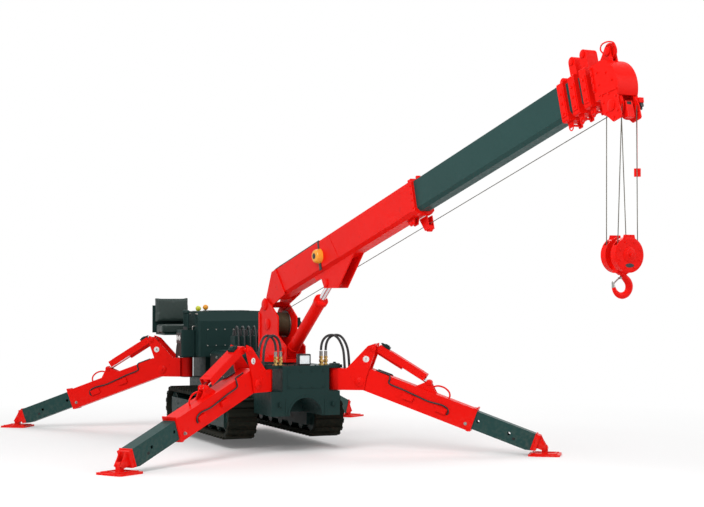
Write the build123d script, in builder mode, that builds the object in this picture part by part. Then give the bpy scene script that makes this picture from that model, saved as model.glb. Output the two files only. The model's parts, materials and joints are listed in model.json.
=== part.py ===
from build123d import *
import math
import os

# Driving dimensions in millimetres and degrees; heights are above the ground,
# other places are from the slew axis, with +X to the front and +Y to the machine's left.

# Clearances
seat_gap = 0.3
running_gap = 6.0
overrun = 15.0

# Boom pose in the stored position
boom_azimuth = 7.0
boom_elevation = 15.6

# Outrigger stance
front_pin_x = 690.0
rear_pin_x = -2250.0
pin_y = 375.0
front_leg_azimuth = 56.5
rear_leg_azimuth = 124.4
leg_reach = 2195.0

# Outrigger leg, in the upright plane through its yaw pin
yaw_pin_radius = 35.0
yaw_barrel_radius = 60.0
housing_floor = 645.0
housing_roof = 875.0
housing_plate = 30.0
arm_hinge_s = 285.0
arm_hinge_z = 730.0
arm_hinge_radius = 28.0
arm_droop = 1.5
arm_width = 170.0
arm_height = 235.0
arm_rise = 49.0
arm_wall = 8.0
arm_tail = 62.0
arm_length = 1250.0
knuckle_plate = 16.0
lift_pin_s = 431.0
lift_pin_z = 1078.0
lift_pin_radius = 18.0
lift_foot_along = 677.5
lift_foot_up = 244.0
lift_barrel_radius = 40.0
lift_barrel_length = 355.0
lift_rod_radius = 22.0
lift_rod_start = 322.0
lift_eye_radius = 32.0
lift_eye_width = 48.0
cover_width = 132.0
cover_height = 66.0
cover_skirt = 10.0
cover_sheet = 4.0
cover_length = 575.0
inner_width = 142.0
inner_height = 190.0
inner_start = 715.0
toe_run = 91.0
inner_wall = 8.0
toe_plate = 14.0
toe_gap = 62.0
pad_side = 320.0
pad_thickness = 20.0
pad_pin_z = 84.0
pad_pin_radius = 14.0
pad_lug_width = 52.0
pad_lug_radius = 30.0
leg_hole_radius = 17.0
leg_hole_places = (1292.0, 1630.0)
leg_cut_run = 100.0
leg_cut_rise = 26.0

# Chassis
frame_half_width = 300.0
frame_floor = 390.0
frame_roof = 640.0
nose_x = 845.0
nose_arch_width = 350.0
nose_arch_roof = 575.0
tail_x = -2430.0
housing_half_width = 255.0
housing_length = 520.0
lobe_radius = 82.0
pedestal_radius = 270.0
pedestal_top = 920.0
deck_front_x = -520.0
deck_back_x = -1600.0
deck_top = 985.0

# Tracks
track_inner_y = 330.0
track_width = 320.0
track_front_x = 270.0
track_length = 2510.0
track_floor = 100.0
track_height = 450.0
track_belt = 34.0
grouser_height = 22.0
grouser_width = 45.0
grouser_pitch = 103.0
roller_radius = 72.0
roller_count = 5

# Hood, console and seat
hood_front_x = -1630.0
hood_back_x = -2125.0
hood_right_y = -420.0
hood_left_y = 420.0
hood_top = 1430.0
hood_chamfer = 110.0
console_length = 230.0
console_width = 170.0
console_top = 1215.0
lever_height = 210.0
lever_radius = 9.0
knob_radius = 22.0
seat_front_x = -2215.0
seat_back_x = -2590.0
seat_right_y = -720.0
seat_left_y = -280.0
seat_floor = 1166.0
seat_pad = 105.0
seat_back_top = 1600.0
seat_back_pad = 95.0
seat_overhang = 45.0
seat_leg_width = 110.0
seat_leg_y = -150.0
light_width = 130.0
light_height = 118.0
light_depth = 85.0
fitting_radius = 17.0
fitting_height = 150.0
hose_rise = 160.0
rear_hose_rise = 40.0
fitting_y = 250.0
fitting_pitch = 52.0
hose_radius = 13.0

# Column and winch
column_foot = 35.0
column_inner = 103.0
column_plate = 16.0
column_back_s = -245.0
column_front_s = 400.0
column_waist_s = 205.0
column_toe_z = 1090.0
column_shoulder_z = 1400.0
foot_pin_s = -106.0
foot_pin_z = 1524.0
foot_pin_radius = 32.0
foot_lobe_radius = 72.0
drum_s = -40.0
drum_z = 1315.0
drum_radius = 128.0
drum_flange_radius = 145.0
drum_flange = 8.0
drum_axle_radius = 40.0
luff_foot_s = 300.0
luff_foot_z = 1032.0
luff_pin_radius = 26.0
luff_eye_radius = 52.0
luff_barrel_radius = 63.0
luff_barrel_length = 886.0
luff_rod_radius = 35.0
luff_rod_start = 216.0
luff_head_a = 1320.0
luff_head_up = -128.0
luff_rod_eye_radius = 44.0
luff_rod_eye_width = 76.0

# Boom
boom_width = 180.0
boom_height = 310.0
boom_wall = 6.0
boom_step = 24.0
boom_corner = 30.0
boom_mid = 155.0
base_top_start = 205.0
base_tip = 3250.0
tip_rim = 60.0
tip_rim_height = 13.0
section_start = 2650.0
section_stagger = 100.0
collar_length = 84.0
collar_stagger = 150.0
collar_rise = 118.0
collar_neck = 110.0
collar_thickness = 16.0
root_lug_radius = 60.0
bracket_plate = 15.0
guide_a = 3170.0
guide_width = 40.0
guide_radius = 34.0
sensor_taper = 12.0

# Boom head and hook
sheave_a = 6190.0
sheave_up = -105.0
sheave_radius = 92.0
sheave_width = 24.0
sheave_lateral = 70.0
sheave_axle_radius = 22.0
head_plate = 12.0
head_half_width = 98.0
head_back_run = 170.0
head_cover_back = 20.0
head_nose_run = 90.0
head_nose_up = -50.0
head_cover_radius = 230.0
head_top_up = 275.0
top_sheave_up = 345.0
top_sheave_radius = 62.0
rope_radius = 4.0
rope_lateral = -74.0
block_z = 1954.0
block_radius = 134.0
block_cheek = 12.0
block_half_depth = 90.0
block_sheave_radius = 96.0
block_sheave_fore = 66.0
block_sheave_width = 34.0
block_axle_radius = 24.0
shank_radius = 20.0
hook_centre_z = 1722.0
hook_outer_radius = 100.0
hook_throat_radius = 50.0
hook_thickness = 44.0
weight_z = 2585.0
weight_radius = 26.0
weight_height = 62.0

# Where the arm and its cylinder point, so that the toe meets the pad
leg_slope = math.atan2(arm_hinge_z - pad_pin_z, leg_reach - arm_hinge_s)
arm_fall = math.degrees(leg_slope) + arm_droop
inner_end = math.hypot(arm_hinge_z - pad_pin_z, leg_reach - arm_hinge_s) - toe_run
arm_turn = math.radians(arm_fall)
lift_foot_s = arm_hinge_s + lift_foot_along * math.cos(arm_turn) + lift_foot_up * math.sin(arm_turn)
lift_foot_z = arm_hinge_z - lift_foot_along * math.sin(arm_turn) + lift_foot_up * math.cos(arm_turn)

# Where the slew axis stands: the origin is the middle of the ground box
psi = math.radians(boom_azimuth)
theta = math.radians(boom_elevation)
head_start = sheave_a - head_back_run
collar_start = head_start - 3 * collar_stagger
head_nose_a = sheave_a + head_nose_run
nose_s = foot_pin_s + head_nose_a * math.cos(theta) - head_nose_up * math.sin(theta)
reach_front = nose_s * math.cos(psi) + head_half_width * math.sin(psi)
rear_turn = math.radians(rear_leg_azimuth)
pad_half_turned = (abs(math.cos(rear_turn)) + abs(math.sin(rear_turn))) * pad_side / 2
reach_back = rear_pin_x + leg_reach * math.cos(rear_turn) - pad_half_turned
slew_x = -(reach_front + reach_back) / 2

# Planes that the pieces are drawn on
machine = Plane(origin=(slew_x, 0, 0))
machine_side = Plane(origin=(slew_x, 0, 0), x_dir=(1, 0, 0), z_dir=(0, -1, 0))
right_dir = Vector(math.sin(psi), -math.cos(psi), 0)
left_dir = right_dir * -1
fore_dir = Vector(math.cos(psi), math.sin(psi), 0)
boom_dir = Vector(math.cos(theta) * math.cos(psi), math.cos(theta) * math.sin(psi), math.sin(theta))
column_side = Plane(origin=(slew_x, 0, 0), x_dir=fore_dir, z_dir=right_dir)
foot_pin = column_side.from_local_coords(Vector(foot_pin_s, foot_pin_z, 0))
boom_side = Plane(origin=foot_pin, x_dir=boom_dir, z_dir=right_dir)
sheave_axis = boom_side.from_local_coords(Vector(sheave_a, sheave_up, 0))


def boom_section_plane(along):
    """Plane across the boom, X to the left, Y up."""
    centre = boom_side.from_local_coords(Vector(along, 0, 0))
    return Plane(origin=centre, x_dir=left_dir, z_dir=boom_dir)


def save(builder, name):
    """Label a finished piece and write it."""
    builder.part.label = name
    export_step(builder.part, f"parts/{name}.step")


def turned(plane, local_x, local_y, degrees):
    """A plane in the same sheet, at a point of it, with X turned by an angle."""
    origin = plane.from_local_coords(Vector(local_x, local_y, 0))
    turn = math.radians(degrees)
    x_dir = plane.x_dir * math.cos(turn) + plane.y_dir * math.sin(turn)
    return Plane(origin=origin, x_dir=x_dir, z_dir=plane.z_dir)


def across(plane):
    """Plane at the same origin whose normal is the first plane's X, with Y as before."""
    return Plane(origin=plane.origin, x_dir=plane.z_dir * -1, z_dir=plane.x_dir)


def smooth_radii(points):
    """Corner radii of a hose route: as large as the runs beside each corner allow."""
    radii = []
    run_share = 0.45
    for before, here, after in zip(points, points[1:], points[2:]):
        first = Vector(*here) - Vector(*before)
        second = Vector(*after) - Vector(*here)
        half_turn = math.radians(first.get_angle(second)) / 2
        radii.append(run_share * min(first.length, second.length) / math.tan(half_turn))
    return radii


os.makedirs("parts", exist_ok=True)

# Chassis frame: box between the tracks, nose with an arch, pedestal for the column
with BuildPart() as chassis_frame:
    with BuildSketch(machine.offset(frame_floor)):
        with Locations(((nose_x + tail_x) / 2, 0)):
            Rectangle(nose_x - tail_x, 2 * frame_half_width)
    extrude(amount=frame_roof - frame_floor)
    with BuildSketch(machine_side):
        with Locations(((track_front_x + running_gap + nose_x) / 2, (frame_floor + frame_roof) / 2)):
            Rectangle(nose_x - track_front_x - running_gap, frame_roof - frame_floor)
    extrude(amount=pin_y, both=True)
    arch_rise = nose_arch_roof - frame_floor
    arch_foot = (slew_x + nose_x + overrun, 0, frame_floor)
    with BuildSketch(Plane(origin=arch_foot, x_dir=(0, -1, 0), z_dir=(-1, 0, 0))):
        Rectangle(nose_arch_width, 2 * (arch_rise - nose_arch_width / 2))
        with Locations((0, arch_rise - nose_arch_width / 2)):
            Circle(nose_arch_width / 2)
    extrude(amount=nose_x - track_front_x, mode=Mode.SUBTRACT)
    with BuildSketch(machine.offset(frame_roof)):
        Circle(pedestal_radius)
    extrude(amount=pedestal_top - frame_roof)
save(chassis_frame, "chassis_frame")


def housing(name, pin_x, end_x):
    """Outrigger housing: a box, a floor and a roof plate with a lobe and a yaw pin at each side."""
    towards = 1 if end_x > pin_x else -1
    inner_x = end_x - towards * housing_length
    middle_x = (end_x + inner_x) / 2
    with BuildPart() as shell:
        with BuildSketch(machine.offset(frame_roof)):
            with Locations((middle_x, 0)):
                Rectangle(housing_length, 2 * housing_half_width)
        extrude(amount=housing_roof - frame_roof)
        for level in (frame_roof, housing_roof):
            with BuildSketch(machine.offset(level)):
                with Locations((middle_x, 0)):
                    Rectangle(housing_length, 2 * housing_half_width)
                with Locations((pin_x, pin_y), (pin_x, -pin_y)):
                    Circle(lobe_radius)
                with Locations((pin_x, 0)):
                    Rectangle(2 * lobe_radius, 2 * pin_y)
            extrude(amount=housing_plate if level == housing_roof else housing_floor - frame_roof)
        with BuildSketch(machine.offset(housing_floor)):
            with Locations((pin_x, pin_y), (pin_x, -pin_y)):
                Circle(yaw_pin_radius)
        extrude(amount=housing_roof - housing_floor)
        with BuildSketch(machine.offset(housing_floor)):
            with Locations((pin_x, pin_y), (pin_x, -pin_y)):
                Circle(yaw_barrel_radius + running_gap)
                Circle(yaw_pin_radius, mode=Mode.SUBTRACT)
        extrude(amount=housing_roof - housing_floor, mode=Mode.SUBTRACT)
    save(shell, name)


housing("front_housing", front_pin_x, nose_x)
housing("rear_housing", rear_pin_x, tail_x)

# Machinery deck between the column and the hood
with BuildPart() as machinery_deck:
    with BuildSketch(machine.offset(frame_roof)):
        with Locations(((deck_front_x + deck_back_x) / 2, 0)):
            RectangleRounded(deck_front_x - deck_back_x, 2 * frame_half_width, hood_chamfer / 2)
    extrude(amount=deck_top - frame_roof)
    chamfer(machinery_deck.faces().sort_by(Axis.Z)[-1].edges(), hood_chamfer / 3)
save(machinery_deck, "machinery_deck")

# Engine hood with a chamfered front edge
with BuildPart() as engine_hood:
    hood_floor = housing_roof + housing_plate
    with BuildSketch(machine.offset(hood_floor)):
        with Locations(((hood_front_x + hood_back_x) / 2, (hood_right_y + hood_left_y) / 2)):
            Rectangle(hood_front_x - hood_back_x, hood_left_y - hood_right_y)
    extrude(amount=hood_top - hood_floor)
    top_edges = engine_hood.faces().sort_by(Axis.Z)[-1].edges()
    chamfer(top_edges.sort_by(Axis.X)[-1], hood_chamfer)
    fillet(engine_hood.edges().filter_by(Axis.Z), hood_chamfer / 4)
save(engine_hood, "engine_hood")

# Control console with two travel levers and two knob levers
with BuildPart() as control_console:
    console_x = (hood_front_x + hood_back_x) / 2
    console_y = hood_right_y - console_width / 2
    with BuildSketch(machine.offset(hood_floor)):
        with Locations((console_x, console_y)):
            RectangleRounded(console_length, console_width, knob_radius)
    extrude(amount=console_top - hood_floor)
    lever_row_shares = (-0.36, -0.12, 0.12, 0.36)
    with BuildSketch(machine.offset(console_top)):
        for row_share in lever_row_shares:
            with Locations((console_x + row_share * console_length, console_y)):
                Circle(lever_radius)
    extrude(amount=lever_height)
    for row_share in lever_row_shares:
        lever_x = slew_x + console_x + row_share * console_length
        with Locations((lever_x, console_y, console_top + lever_height)):
            Sphere(knob_radius)
save(control_console, "control_console")

# Seat: a pedestal on the rear housing, a pan that reaches out to the right, and two pads
with BuildPart() as seat_mount:
    seat_mid_y = (seat_right_y + seat_left_y) / 2
    pan_left_y = seat_leg_y + seat_leg_width / 2
    pan_right_y = seat_right_y + seat_overhang
    pan_floor = seat_floor - knob_radius
    back_x = seat_back_x - knob_radius / 2
    with BuildSketch(machine.offset(hood_floor)):
        with Locations((tail_x + seat_leg_width, seat_leg_y)):
            Rectangle(seat_leg_width, seat_leg_width)
    extrude(amount=pan_floor - hood_floor)
    with BuildSketch(machine.offset(pan_floor)):
        with Locations(((seat_front_x + seat_back_x - knob_radius) / 2, (pan_right_y + pan_left_y) / 2)):
            Rectangle(seat_front_x - seat_back_x + knob_radius, pan_left_y - pan_right_y)
    extrude(amount=knob_radius)
    with BuildSketch(machine.offset(seat_floor)):
        with Locations((back_x, seat_mid_y)):
            Rectangle(knob_radius, seat_left_y - seat_right_y)
    extrude(amount=seat_back_top - seat_pad - seat_floor)
save(seat_mount, "seat_mount")

with BuildPart() as seat_pads:
    back_face_x = back_x + knob_radius / 2
    with BuildSketch(machine.offset(seat_floor)):
        with Locations(((seat_front_x + back_face_x + seat_back_pad) / 2 + running_gap, seat_mid_y)):
            Rectangle(seat_front_x - back_face_x - seat_back_pad, seat_left_y - seat_right_y)
    extrude(amount=seat_pad)
    with BuildSketch(machine.offset(seat_floor + seat_pad / 2)):
        with Locations((back_face_x + seat_back_pad / 2, seat_mid_y)):
            Rectangle(seat_back_pad, seat_left_y - seat_right_y)
    extrude(amount=seat_back_top - seat_floor - seat_pad / 2)
    fillet(seat_pads.edges().filter_by(Axis.X), knob_radius)
save(seat_pads, "seat_pads")


def track(side_name, side):
    """Rubber loop with cross bars, and the frame with wheels that it runs round."""
    belt_height = track_height - 2 * grouser_height
    belt_length = track_length - 2 * grouser_height
    straight = belt_length - belt_height
    middle_x = track_front_x - track_length / 2
    middle_z = track_floor + track_height / 2
    wheel_radius = belt_height / 2 - track_belt
    middle_y = side * (track_inner_y + track_width / 2)
    loop_plane = Plane(origin=(slew_x + middle_x, middle_y, middle_z), x_dir=(1, 0, 0), z_dir=(0, -1, 0))
    bar_reach = grouser_height + track_belt / 2
    bar_centre = belt_height / 2 + grouser_height - bar_reach / 2
    bar_count = int(straight / grouser_pitch)
    end_count = int(math.pi * belt_height / 2 / grouser_pitch)
    with BuildPart() as loop:
        with BuildSketch(loop_plane):
            SlotCenterToCenter(straight, belt_height)
            for level in (-bar_centre, bar_centre):
                with Locations((0, level)):
                    with GridLocations(straight / bar_count, bar_reach, bar_count + 1, 1):
                        Rectangle(grouser_width, bar_reach)
            for end, first in ((-1, 90), (1, -90)):
                step = 180 / (end_count + 1)
                with Locations((end * straight / 2, 0)):
                    with PolarLocations(bar_centre, end_count, first + step, 180 - 2 * step, endpoint=True):
                        Rectangle(bar_reach, grouser_width)
            SlotCenterToCenter(straight, 2 * wheel_radius, mode=Mode.SUBTRACT)
        extrude(amount=track_width / 2, both=True)
    save(loop, f"{side_name}_track")

    beam_inner = frame_half_width
    beam_outer = track_inner_y + track_width - overrun
    beam_depth = beam_outer - beam_inner
    beam_middle = (slew_x + middle_x, side * (beam_inner + beam_depth / 2), middle_z)
    beam_plane = Plane(origin=beam_middle, x_dir=(1, 0, 0), z_dir=(0, -1, 0))
    with BuildPart() as wheels:
        with BuildSketch(beam_plane):
            Rectangle(straight, belt_height / 2)
        extrude(amount=beam_depth / 2, both=True)
        with BuildSketch(beam_plane):
            with Locations((straight / 2, 0), (-straight / 2, 0)):
                Circle(wheel_radius - seat_gap)
            with Locations((0, roller_radius + seat_gap - wheel_radius)):
                with GridLocations(straight / (roller_count + 1), roller_radius, roller_count, 1):
                    Circle(roller_radius)
        extrude(amount=beam_depth / 3, both=True)
    save(wheels, f"{side_name}_track_frame")


track("left", 1)
track("right", -1)

# Work light on the front housing
with BuildPart() as work_light:
    light_floor = housing_roof + housing_plate
    light_x = nose_x - light_depth
    with BuildSketch(machine.offset(light_floor)):
        with Locations((light_x, 0)):
            RectangleRounded(light_depth, light_width, overrun)
    extrude(amount=light_height)
    lens_middle = (slew_x + light_x + light_depth / 2, 0, light_floor + light_height / 2)
    lens_plane = Plane(origin=lens_middle, x_dir=(0, 1, 0), z_dir=(1, 0, 0))
    with BuildSketch(lens_plane):
        RectangleRounded(light_width - 2 * overrun, light_height - 2 * overrun, running_gap)
    extrude(amount=-running_gap, mode=Mode.SUBTRACT)
save(work_light, "work_light")


def leg_plane(pin_x, side, azimuth):
    """Upright plane of a leg: origin under its yaw pin, X outwards along the leg, Y up."""
    turn = math.radians(azimuth) * side
    outwards = Vector(math.cos(turn), math.sin(turn), 0)
    sideways = Vector(math.sin(turn), -math.cos(turn), 0)
    return Plane(origin=(slew_x + pin_x, side * pin_y, 0), x_dir=outwards, z_dir=sideways)


fork_inner = arm_width / 2 + running_gap
fork_outer = fork_inner + knuckle_plate
lift_run = math.hypot(lift_foot_s - lift_pin_s, lift_foot_z - lift_pin_z)
lift_slope = math.degrees(math.atan2(lift_foot_z - lift_pin_z, lift_foot_s - lift_pin_s))
arm_top = arm_rise + arm_height / 2
arm_bottom = arm_rise - arm_height / 2
inner_top = arm_top - arm_wall - running_gap
inner_mid = inner_top - inner_height / 2
fall = math.radians(arm_fall)


def knuckle(name, plane):
    """Fork on the yaw pin that carries the arm and the lifting cylinder's upper pin."""
    barrel_floor = housing_floor + seat_gap
    barrel_roof = housing_roof - running_gap
    web_share = 2.5
    web_end = web_share * yaw_barrel_radius
    with BuildPart() as fork:
        with BuildSketch(Plane(origin=plane.origin, x_dir=plane.x_dir).offset(barrel_floor)):
            Circle(yaw_barrel_radius)
            with Locations((web_end / 2, 0)):
                Rectangle(web_end, 2 * yaw_barrel_radius)
            with Locations(((web_end + yaw_barrel_radius) / 2, 0)):
                Rectangle(web_end - yaw_barrel_radius, 2 * fork_outer)
            Circle(yaw_pin_radius + seat_gap, mode=Mode.SUBTRACT)
        extrude(amount=barrel_roof - barrel_floor)
        ear_share = 1.5
        ear = ear_share * lift_pin_radius
        heel_share = 2.7
        heel = arm_hinge_s + heel_share * arm_hinge_radius
        for middle in ((fork_inner + fork_outer) / 2, -(fork_inner + fork_outer) / 2):
            with BuildSketch(plane.offset(middle)):
                with BuildLine():
                    Polyline(
                        (yaw_barrel_radius, barrel_floor),
                        (yaw_barrel_radius, barrel_roof),
                        (web_end, barrel_roof),
                        (lift_pin_s - 2 * ear, lift_pin_z + ear),
                        (lift_pin_s + ear, lift_pin_z + 2 * ear),
                        (lift_pin_s + ear, lift_pin_z - ear),
                        (heel, arm_hinge_z + 2 * arm_hinge_radius),
                        (heel - arm_hinge_radius, barrel_floor),
                        close=True,
                    )
                make_face()
                with Locations((arm_hinge_s, arm_hinge_z)):
                    Circle(arm_hinge_radius, mode=Mode.SUBTRACT)
            extrude(amount=knuckle_plate / 2, both=True)
        with BuildSketch(plane):
            with Locations((arm_hinge_s, arm_hinge_z)):
                Circle(arm_hinge_radius)
            with Locations((lift_pin_s, lift_pin_z)):
                Circle(lift_pin_radius)
        extrude(amount=fork_outer + running_gap, both=True)
    save(fork, name)


def arm(name, plane):
    """Hollow box arm, round at its hinge, with lugs for the lifting cylinder's foot."""
    along = turned(plane, arm_hinge_s, arm_hinge_z, -arm_fall)
    foot = along.to_local_coords(plane.from_local_coords(Vector(lift_foot_s, lift_foot_z, 0)))
    lug_inner = (lift_eye_width + running_gap) / 2
    lug_splay_share = 1.5
    lug_foot = lug_splay_share * (foot.Y - arm_top)
    with BuildPart() as box:
        with BuildSketch(along) as outline:
            with Locations(((arm_length - arm_tail) / 2, arm_rise)):
                Rectangle(arm_length + arm_tail, arm_height)
            fillet(outline.vertices().group_by(Axis.X)[0], arm_tail)
        extrude(amount=arm_width / 2, both=True)
        with BuildSketch(along):
            with Locations(((arm_length + overrun + arm_tail) / 2, arm_rise)):
                Rectangle(arm_length + overrun - arm_tail, arm_height - 2 * arm_wall)
        extrude(amount=arm_width / 2 - arm_wall, both=True, mode=Mode.SUBTRACT)
        with BuildSketch(along):
            Circle(arm_hinge_radius + seat_gap)
        extrude(amount=arm_width, both=True, mode=Mode.SUBTRACT)
        for lateral in (lug_inner + toe_plate / 2, -lug_inner - toe_plate / 2):
            with BuildSketch(along.offset(lateral)):
                with BuildLine():
                    Polyline(
                        (foot.X - lug_foot, arm_top),
                        (foot.X - lift_eye_radius, foot.Y),
                        (foot.X + lift_eye_radius, foot.Y),
                        (foot.X + lug_foot, arm_top),
                        close=True,
                    )
                make_face()
                with Locations((foot.X, foot.Y)):
                    Circle(lift_eye_radius)
            extrude(amount=toe_plate / 2, both=True)
        with BuildSketch(along):
            with Locations((arm_length - tip_rim / 2, arm_rise)):
                Rectangle(tip_rim / 2, arm_height + 2 * running_gap)
                Rectangle(tip_rim, arm_height - arm_wall, mode=Mode.SUBTRACT)
        extrude(amount=arm_width / 2, both=True)
        with BuildSketch(across(along).offset(arm_length - tip_rim)):
            with Locations((0, arm_rise)):
                Rectangle(arm_width - arm_wall, arm_height - arm_wall)
            with Locations((0, inner_mid)):
                Rectangle(inner_width + 2 * seat_gap, inner_height + 2 * seat_gap, mode=Mode.SUBTRACT)
        extrude(amount=tip_rim)
    save(box, name)


def lift_cylinder(name, plane):
    """Lifting cylinder: a barrel with its cover at the knuckle, a rod down to the arm's lugs."""
    line = turned(plane, lift_pin_s, lift_pin_z, lift_slope)
    cross = across(line)
    with BuildPart() as barrel:
        with BuildSketch(cross.offset(lift_pin_radius)):
            Circle(lift_barrel_radius)
        extrude(amount=lift_barrel_length - lift_pin_radius)
        with BuildSketch(line):
            Circle(lift_barrel_radius)
        extrude(amount=lift_barrel_radius, both=True)
        with BuildSketch(cross.offset(lift_barrel_radius)):
            with Locations((0, (cover_height - cover_skirt) / 2)):
                Rectangle(cover_width, cover_height + cover_skirt)
            with Locations((0, (cover_height - cover_skirt) / 2 - cover_sheet)):
                Rectangle(cover_width - 2 * cover_sheet, cover_height + cover_skirt, mode=Mode.SUBTRACT)
            with Locations((0, (cover_height + lift_barrel_radius) / 2 - cover_sheet)):
                Rectangle(lift_barrel_radius, cover_height - lift_barrel_radius + cover_sheet)
        extrude(amount=cover_length)
        with BuildSketch(line):
            Circle(lift_pin_radius + seat_gap)
        extrude(amount=cover_width, both=True, mode=Mode.SUBTRACT)
        with BuildSketch(cross.offset(2 * lift_pin_radius)):
            Circle(lift_rod_radius + seat_gap)
        extrude(amount=cover_length, mode=Mode.SUBTRACT)
    save(barrel, f"{name}_lift_barrel")
    with BuildPart() as rod:
        with BuildSketch(cross.offset(lift_rod_start)):
            Circle(lift_rod_radius)
        extrude(amount=lift_run - lift_rod_start)
        with BuildSketch(turned(plane, lift_foot_s, lift_foot_z, lift_slope)):
            Circle(lift_eye_radius)
        extrude(amount=lift_eye_width / 2, both=True)
    save(rod, f"{name}_lift_rod")


def inner_leg(name, plane):
    """Box leg that slides in the arm, with the toe that holds the foot pad's pin."""
    along = turned(plane, arm_hinge_s, arm_hinge_z, -arm_fall)
    pin = along.to_local_coords(plane.from_local_coords(Vector(leg_reach, pad_pin_z, 0)))
    toe_share = 1.2
    toe = toe_share * pad_lug_radius
    with BuildPart() as leg:
        with BuildSketch(across(along).offset(inner_start)):
            with Locations((0, inner_mid)):
                Rectangle(inner_width, inner_height)
                Rectangle(inner_width - 2 * inner_wall, inner_height - 2 * inner_wall, mode=Mode.SUBTRACT)
        extrude(amount=inner_end - inner_start)
        with BuildSketch(across(along).offset(inner_end)):
            with Locations((0, inner_mid)):
                Rectangle(inner_width, inner_height)
        extrude(amount=toe_plate)
        face = inner_end + toe_plate
        for lateral in ((toe_gap + toe_plate) / 2, -(toe_gap + toe_plate) / 2):
            with BuildSketch(along.offset(lateral)):
                with BuildLine():
                    Polyline(
                        (face, inner_top),
                        (face + toe, inner_top - toe),
                        (pin.X + toe, pin.Y),
                        (pin.X, pin.Y - toe),
                        (face, pin.Y - toe),
                        close=True,
                    )
                make_face()
            extrude(amount=toe_plate / 2, both=True)
        with BuildSketch(along):
            with Locations(*((place, inner_mid) for place in leg_hole_places)):
                Circle(leg_hole_radius)
        extrude(amount=inner_width, both=True, mode=Mode.SUBTRACT)
        inner_floor = inner_mid - inner_height / 2
        with BuildSketch(along):
            with BuildLine():
                Polyline(
                    (face - leg_cut_run, inner_floor),
                    (face, inner_floor + leg_cut_rise),
                    (face + overrun, inner_floor + leg_cut_rise),
                    (face + overrun, inner_floor - overrun),
                    (face - leg_cut_run, inner_floor - overrun),
                    close=True,
                )
            make_face()
        extrude(amount=inner_width, both=True, mode=Mode.SUBTRACT)
        with BuildSketch(turned(plane, leg_reach, pad_pin_z, 0)):
            Circle(pad_pin_radius)
        extrude(amount=toe_gap / 2 + toe_plate + running_gap, both=True)
    save(leg, name)


def foot_pad(name, plane):
    """Square pad with a lug on the toe's pin."""
    with BuildPart() as pad:
        with BuildSketch(Plane(origin=plane.origin, x_dir=plane.x_dir)):
            with Locations((leg_reach, 0)):
                RectangleRounded(pad_side, pad_side, pad_lug_radius)
        extrude(amount=pad_thickness)
        with BuildSketch(plane):
            with Locations((leg_reach, pad_pin_z / 2)):
                Rectangle(2 * pad_lug_radius, pad_pin_z)
            with Locations((leg_reach, pad_pin_z)):
                Circle(pad_lug_radius)
                Circle(pad_pin_radius + seat_gap, mode=Mode.SUBTRACT)
        extrude(amount=pad_lug_width / 2, both=True)
    save(pad, name)


def hose_bundle(name, pin_x, side, towards, rise):
    """Two hose loops from fittings on the housing's roof to the knuckle, and the fittings."""
    roof = housing_roof + housing_plate
    landing = housing_roof - running_gap + hose_radius / 8
    top = roof + fitting_height
    out = yaw_barrel_radius
    first_x = pin_x if towards > 0 else pin_x + fitting_pitch
    with BuildPart() as hoses:
        for lane in (-1, 1):
            start_x = first_x + lane * fitting_pitch / 2
            with BuildSketch(machine.offset(roof)):
                with Locations((start_x, side * fitting_y)):
                    Circle(fitting_radius)
            extrude(amount=fitting_height)
            route_shares = (
                (0.0, 0.0, top),
                (0.0, 0.0, top + rise / 2),
                (0.3, 1.0, top + rise),
                (1.0, 2.5, top + rise),
                (1.5, 3.5, top + rise / 4),
                (1.7, 3.7, (top + landing) / 2),
                (1.7, 3.75, landing),
            )
            route = []
            for x_share, y_share, height in route_shares:
                x = slew_x + start_x + towards * x_share * out
                route.append((x, side * (fitting_y + y_share * out), height))
            with BuildLine() as line:
                FilletPolyline(*route, radius=smooth_radii(route))
            with BuildSketch(Plane(origin=line.line @ 0, z_dir=line.line % 0)):
                Circle(hose_radius)
            sweep(path=line.line)
    save(hoses, name)


corners = (
    ("front_left", front_pin_x, 1, front_leg_azimuth, 1, hose_rise),
    ("front_right", front_pin_x, -1, front_leg_azimuth, 1, hose_rise),
    ("rear_left", rear_pin_x, 1, rear_leg_azimuth, -1, rear_hose_rise),
    ("rear_right", rear_pin_x, -1, rear_leg_azimuth, -1, rear_hose_rise),
)
for corner, corner_pin_x, corner_side, corner_azimuth, corner_end, corner_rise in corners:
    corner_plane = leg_plane(corner_pin_x, corner_side, corner_azimuth)
    knuckle(f"{corner}_knuckle", corner_plane)
    arm(f"{corner}_arm", corner_plane)
    lift_cylinder(corner, corner_plane)
    inner_leg(f"{corner}_inner_leg", corner_plane)
    foot_pad(f"{corner}_foot_pad", corner_plane)
    hose_bundle(f"{corner}_hoses", corner_pin_x, corner_side, corner_end, corner_rise)

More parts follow.
